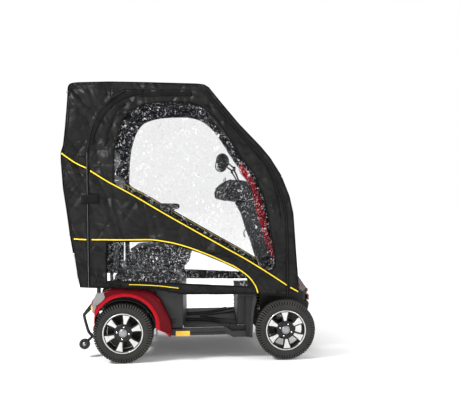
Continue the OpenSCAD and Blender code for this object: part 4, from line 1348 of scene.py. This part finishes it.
# The handlebar's loop on the left side, and the mirror stalk that leaves it.
BAR_LOOP = [(322, 74, 1051), (314, 92, 1053), (290, 152, 1059), (268, 198, 1062),
            (254, 216, 1057), (219, 226, 1029), (190, 234, 1006), (178, 236, 994),
            (184, 229, 980), (210, 217, 962), (232, 196, 959), (276, 140, 963), (316, 86, 966),
            (322, 74, 966)]
STALK = [(318, 80, 1070), (312, 96, 1084), (296, 134, 1118), (285, 156, 1135), (284, 160, 1141)]


def bars():
    tubes, grips = [], []
    for _, side in SIDES:
        for line, radius, sides in ((BAR_LOOP, 9, 20), (STALK, 5, 16)):
            tubes.append(tube("bar", smooth_path(mirrored(line, side), 6), radius, BLACK_STEEL,
                              sides))
        tubes.append(tube("stalk_seat", [(284, side * 160, 1136), (284, side * 160, 1145)], 9,
                          BLACK, 24))
        tubes.append(tube("stalk_pin", [(284, side * 160, 1140), (284, side * 160, 1162)], 4,
                          CHROME, 16))
        a, b = np.array((254, side * 218.0, 1055)), np.array((185, side * 235.5, 1003))
        grips.append(tube("grip", [a + (b - a) * t for t in np.linspace(0, 1, 41)],
                          lambda t: 16 + 0.9 * math.cos(t * 2 * math.pi * 9)
                          + (2.4 if t < 0.06 or t > 0.95 else 0), GRIP, 28))
    part(joined("handlebar_assembly", tubes), "tiller", "black_steel", "handlebar")
    part(joined("grip_pair", grips), "tiller", "grip_rubber", "grips")


LEVER_ANGLE = math.radians(128)


def lever(name, side, reach, body):
    """Thumb paddle: a tapered blade from a round boss on the pin."""
    c, s = math.cos(LEVER_ANGLE), math.sin(LEVER_ANGLE)
    outline = [(0, -8), (20, -8.5), (reach - 10, -6), (reach - 2, -3.5), (reach, 0),
               (reach - 2, 4), (reach - 12, 6.5), (20, 8.5), (0, 8)]
    verts = [(290 + u * c - v * s, (98 + u * s + v * c) * side, z - 3 * (u / reach) ** 2)
             for z in (1011, 1020) for u, v in outline]
    blade = bevelled(recalc(make_object("blade", verts, prism_faces(len(outline)), BLACK)), 2.4,
                     3)
    boss = moved(lathe("boss", [(4.1, -6), (9.5, -6), (10.5, -4), (10.5, 4), (9.5, 6), (4.1, 6)],
                       ORIGIN, BLACK, 1, 32, True), (0.290, side * 0.098, 1.0155), 90, "X")
    part(joined(name + "_paddle", [blade, boss]), body, "black_plastic", name)


def mirror(side_name, side):
    """Oval mirror: a domed dark housing with glass towards the rider."""
    steps, parts = 64, []
    for rings, finish in (
            ([(40, -2), (45, -3), (48.5, -1), (49.5, 3), (48, 9), (42, 15), (30, 19), (14, 21.5),
              (0.5, 22)], BLACK),
            ([(0.5, -0.2), (20, -0.8), (41, -2.0), (42.5, -0.6)], GLASS)):
        turns = [2 * math.pi * i / steps for i in range(steps)]
        # A little wider than high.
        verts = [(depth, r * math.cos(a), 0.98 * r * math.sin(a)) for r, depth in rings
                 for a in turns]
        face = recalc(make_object("face", verts, grid_faces(len(rings), steps, True), finish))
        parts.append(moved(face, (0.209, side * 0.215, 1.192), 52 * side))
    neck = smooth_path(mirrored([(283, 160, 1150), (276, 164, 1158), (252, 184, 1176),
                                 (228, 203, 1186), (216, 211, 1189)], side), 6)
    parts.append(tube("neck", neck, 5, BLACK, 16))
    parts.append(tube("neck_base", [(284, side * 160, 1147), (284, side * 160, 1160)], 9.5,
                      BLACK, 24))
    part(joined("mirror_%s_assembly" % side_name, parts), "mirror_%s_body" % side_name,
         "black_plastic", "mirror_" + side_name)


tiller_stem()
tiller_cowl()
console()
bars()
lever("throttle_lever", -1, 70, "throttle")
lever("brake_lever", 1, 82, "brake")
both(mirror)


# ---------------------------------------------------------------- seat

CLOTH_FRAMES = 20       # frames of the cloth simulation that fill a cushion
CLOTH_SETTINGS = {"quality": 4, "mass": 0.3, "tension_stiffness": 22, "compression_stiffness": 22,
                  "shear_stiffness": 8, "bending_stiffness": 1.5, "use_pressure": True,
                  "uniform_pressure_force": 4}
BACK_FOOT = 715
CENTRE_SEAM = 1e3       # pushes a cross seam's distance out of reach beyond the side seams


def inflated(name, obj, voxel, cap, lowest=None):
    """Fills a closed cover with air pressure in the cloth solver, then smooths it once."""
    apply_modifiers(with_modifier(obj, "REMESH", mode="VOXEL", voxel_size=voxel * MM))
    obj.name = name
    rest = np.array([v.co for v in obj.data.vertices])
    cloth = obj.modifiers.new("cloth", "CLOTH")
    for key, value in CLOTH_SETTINGS.items():
        setattr(cloth.settings, key, value)
    cloth.settings.effector_weights.gravity = 0
    cloth.point_cache.frame_start = 1
    cloth.point_cache.frame_end = CLOTH_FRAMES
    for f in range(1, CLOTH_FRAMES + 1):
        bpy.context.scene.frame_set(f)
    apply_modifiers(obj)
    bpy.context.scene.frame_set(1)
    shift = np.array([v.co for v in obj.data.vertices]) - rest
    length = np.linalg.norm(shift, axis=1)
    limit = cap * MM
    scale = np.where(length > 1e-9, limit * np.tanh(length / limit) / np.maximum(length, 1e-9),
                     1)
    rest = rest + shift * scale[:, None]
    if lowest is not None:
        rest[:, 2] = np.maximum(rest[:, 2], lowest * MM)
    obj.data.vertices.foreach_set("co", rest.ravel())
    apply_modifiers(with_modifier(obj, "SUBSURF", levels=1, render_levels=1))
    for poly in obj.data.polygons:
        poly.use_smooth = True
    return obj


def seamed(obj, face_axis, seam_y, across_axis, across):
    """Presses two long seams and the cross seam between them into a cushion's face."""
    mesh = obj.data
    co = np.array([v.co for v in mesh.vertices]) / MM
    no = np.array([v.normal for v in mesh.vertices])
    y = np.abs(co[:, 1])
    depth = np.where(no[:, face_axis] > 0.3, 1, 0) * (
        groove(np.abs(y - seam_y), 7, 7)
        + groove(np.abs(co[:, across_axis] - across) + CENTRE_SEAM * (y > seam_y), 7, 6))
    co += no * depth[:, None]
    mesh.vertices.foreach_set("co", (co * MM).ravel())
    mesh.update()


def groove(d, width, depth):
    return -depth * np.exp(-(d / width) ** 2)


def seam_on(name, obj, points, body):
    """A sewn cord that follows the cushion's surface near the points given."""
    path = []
    for p in spaced(points, 9, True):
        hit, where, normal, _ = obj.closest_point_on_mesh([c * MM for c in p])
        if hit:
            path.append((where + normal * 0.2 * MM) / MM)
    part(tube(name, path, 2.6, VINYL, 8, 1.0, True), body, "seat_vinyl")


def ring_path(x0, x1, y, z, r=40, n=6):
    """A rounded rectangle in plan, from x0 to x1 and across to y each side, at height z."""
    return [(cx + r * math.cos(a), cy + r * math.sin(a), z)
            for cx, cy, a0 in ((x1 - r, y - r, 0), (x0 + r, y - r, 90), (x0 + r, -y + r, 180),
                               (x1 - r, -y + r, 270))
            for a in (math.radians(a0 + 90 * k / n) for k in range(n + 1))]


def seat():
    base = extruded("seat_block", [(-392, 556), (-10, 556), (12, 602), (22, 640), (6, 656),
                                   (-34, 663), (-298, 662), (-384, 655)], -216, 216, VINYL, 16, 3)
    cushion = inflated("seat_cushion_cover", base, 8, 12, 550.5)
    seamed(cushion, 2, 118, 0, -130)
    part(cushion, "seat", "seat_vinyl", "seat_cushion")
    for name, z in (("top", 646), ("base", 566)):
        seam_on("seat_piping_" + name, cushion, ring_path(-400, 28, 226, z), "seat")
    z = BACK_FOOT
    base = extruded("back_block", [(-422, z - 12), (-458, z - 12), (-474, z + 60), (-511, z + 400),
                                   (-498, z + 420), (-474, z + 419), (-455, z + 396),
                                   (-421, z + 62)], -203, 203, VINYL, 12, 3)
    back_pad = inflated("backrest_cover", base, 8, 10)
    seamed(back_pad, 0, 108, 2, 880)
    part(back_pad, "back", "seat_vinyl", "backrest")
    half_ring = [(204, 10), (206, 200), (200, 370), (150, 424)]
    ring = ([(-y, up) for y, up in half_ring] + [(0, 430)] + half_ring[::-1]
            + [(150, -20), (0, -22), (-150, -20)])
    seam_on("back_piping", back_pad, smooth_path([(-462 - up * 0.075, y, z + up)
                                                  for y, up in ring], 5, True), "back")
    base = slab("head_block", (-506, -122, 1173), (-462, 122, 1277), VINYL, 16, 4)
    part(inflated("headrest_cover", base, 6, 9), "head", "seat_vinyl", "headrest")
    posts = [tube("post", [(-488, side * 55, 1058), (-488, side * 55, 1180)], 5.8, CHROME, 24)
             for _, side in SIDES]
    part(joined("headrest_posts", posts), "head", "black_steel")


def armrest(side_name, side):
    body = "armrest_%s_body" % side_name
    pad = plate("armrest_pad_" + side_name,
                [(-416, 906), (-410, 897), (-380, 892), (-110, 892), (-86, 896), (-77, 908),
                 (-80, 924), (-96, 931), (-180, 934), (-380, 933), (-412, 925)], side, 217, 267,
                VINYL, 13, 6)
    part(pad, body, "seat_vinyl")
    arm = plate("arm", [(-452, 898), (-300, 893), (-150, 890), (-150, 897), (-300, 901),
                        (-410, 922), (-452, 922)], side, 241, 259, BLACK_STEEL, 3)
    boss = lathe("boss", [(6.1, 240), (13, 240), (13, 262), (6.1, 262)], (-440, 0, 905),
                 BLACK_STEEL, side, 32, True)
    part(joined("armrest_arm_" + side_name, [arm, boss]), body, "black_steel",
         "armrest_" + side_name)


seat()
both(armrest)


# ---------------------------------------------------------------- canopy hoops and rear bumper

RAIL_Y = 285
RAIL = [(-548, 452), (-556, 480), (-612, 530), (-628, 640), (-708, 1190), (-709, 1240),
        (-670, 1580), (-655, 1612), (-610, 1620), (40, 1603), (98, 1594), (130, 1565),
        (490, 1105), (530, 1052), (575, 968), (600, 760), (612, 640), (622, 440)]
BUMPER_Y = 176
BUMPER = [(-560, 72, 268), (-572, 82, 280), (-584, 150, 320), (-592, 170, 328),
          (-606, 176, 316), (-642, 176, 270), (-648, 176, 252), (-630, 176, 178),
          (-620, 176, 152), (-606, 176, 136), (-590, 176, 126), (-560, 176, 124)]


def hoops():
    y = RAIL_Y
    tubes = []
    for _, side in SIDES:
        tubes += [tube("side_rail", smooth_path([(x, side * y, z) for x, z in RAIL], 6), 9,
                       BLACK_STEEL, 20),
                  plate("stay", corners(-558, -538, 290, 462), side, 205, 233, BLACK_STEEL, 3),
                  tube("stay_bar", [(-548, side * 225, 452), (-548, side * 286, 452)], 9,
                       BLACK_STEEL, 20)]
    for x, z in ((-712, 1230), (-666, 1614), (108, 1597), (512, 1078), (612, 640)):
        tubes.append(tube("cross", [(x, -y, z), (x, y, z)], 8.6, BLACK_STEEL, 20))
    part(joined("canopy_hoops", tubes), "chassis", "black_steel", "canopy_frame")


def rear_bar():
    y = BUMPER_Y
    tubes = []
    for _, side in SIDES:
        tubes += [tube("loop", smooth_path(mirrored(BUMPER, side), 6), 9, BLACK_STEEL, 20),
                  tube("arm", [(-594, side * y, 131), (-643, side * y, 86)], 8, BLACK_STEEL, 20),
                  tube("axle", [(-643, side * (y - 6), 86), (-643, side * 210, 86)], 5, CHROME,
                       20)]
    tubes.append(tube("cross", [(-648, -y, 261), (-648, y, 261)], 9, BLACK_STEEL, 24))
    part(joined("rear_bumper_tubes", tubes), "chassis", "black_steel", "rear_bumper")


hoops()
rear_bar()


# ---------------------------------------------------------------- finishes of the CAD nodes

FINISHES = {"black_steel": BLACK_STEEL, "grey_plastic": GREY, "black_plastic": BLACK,
            "red_paint": RED, "lens": CLEAR_LENS, "spring_grey": SPRING_GREY,
            "spring_gold": SPRING_GOLD, "canopy_cloth": CLOTH, "clear_film": FILM,
            "cast_aluminium": GREY_METAL, "tyre_rubber": RUBBER, "rim_alloy": SILVER,
            "grip_rubber": GRIP, "key_metal": CHROME, "yellow_plastic": PIPING,
            "seat_vinyl": VINYL}
for row in frame["record"]["subparts"]:
    node = frame["nodes"].get(row["node"])
    if node is not None and not node.hide_render:
        node.data.materials.clear()
        node.data.materials.append(FINISHES[row["material_slot"]])
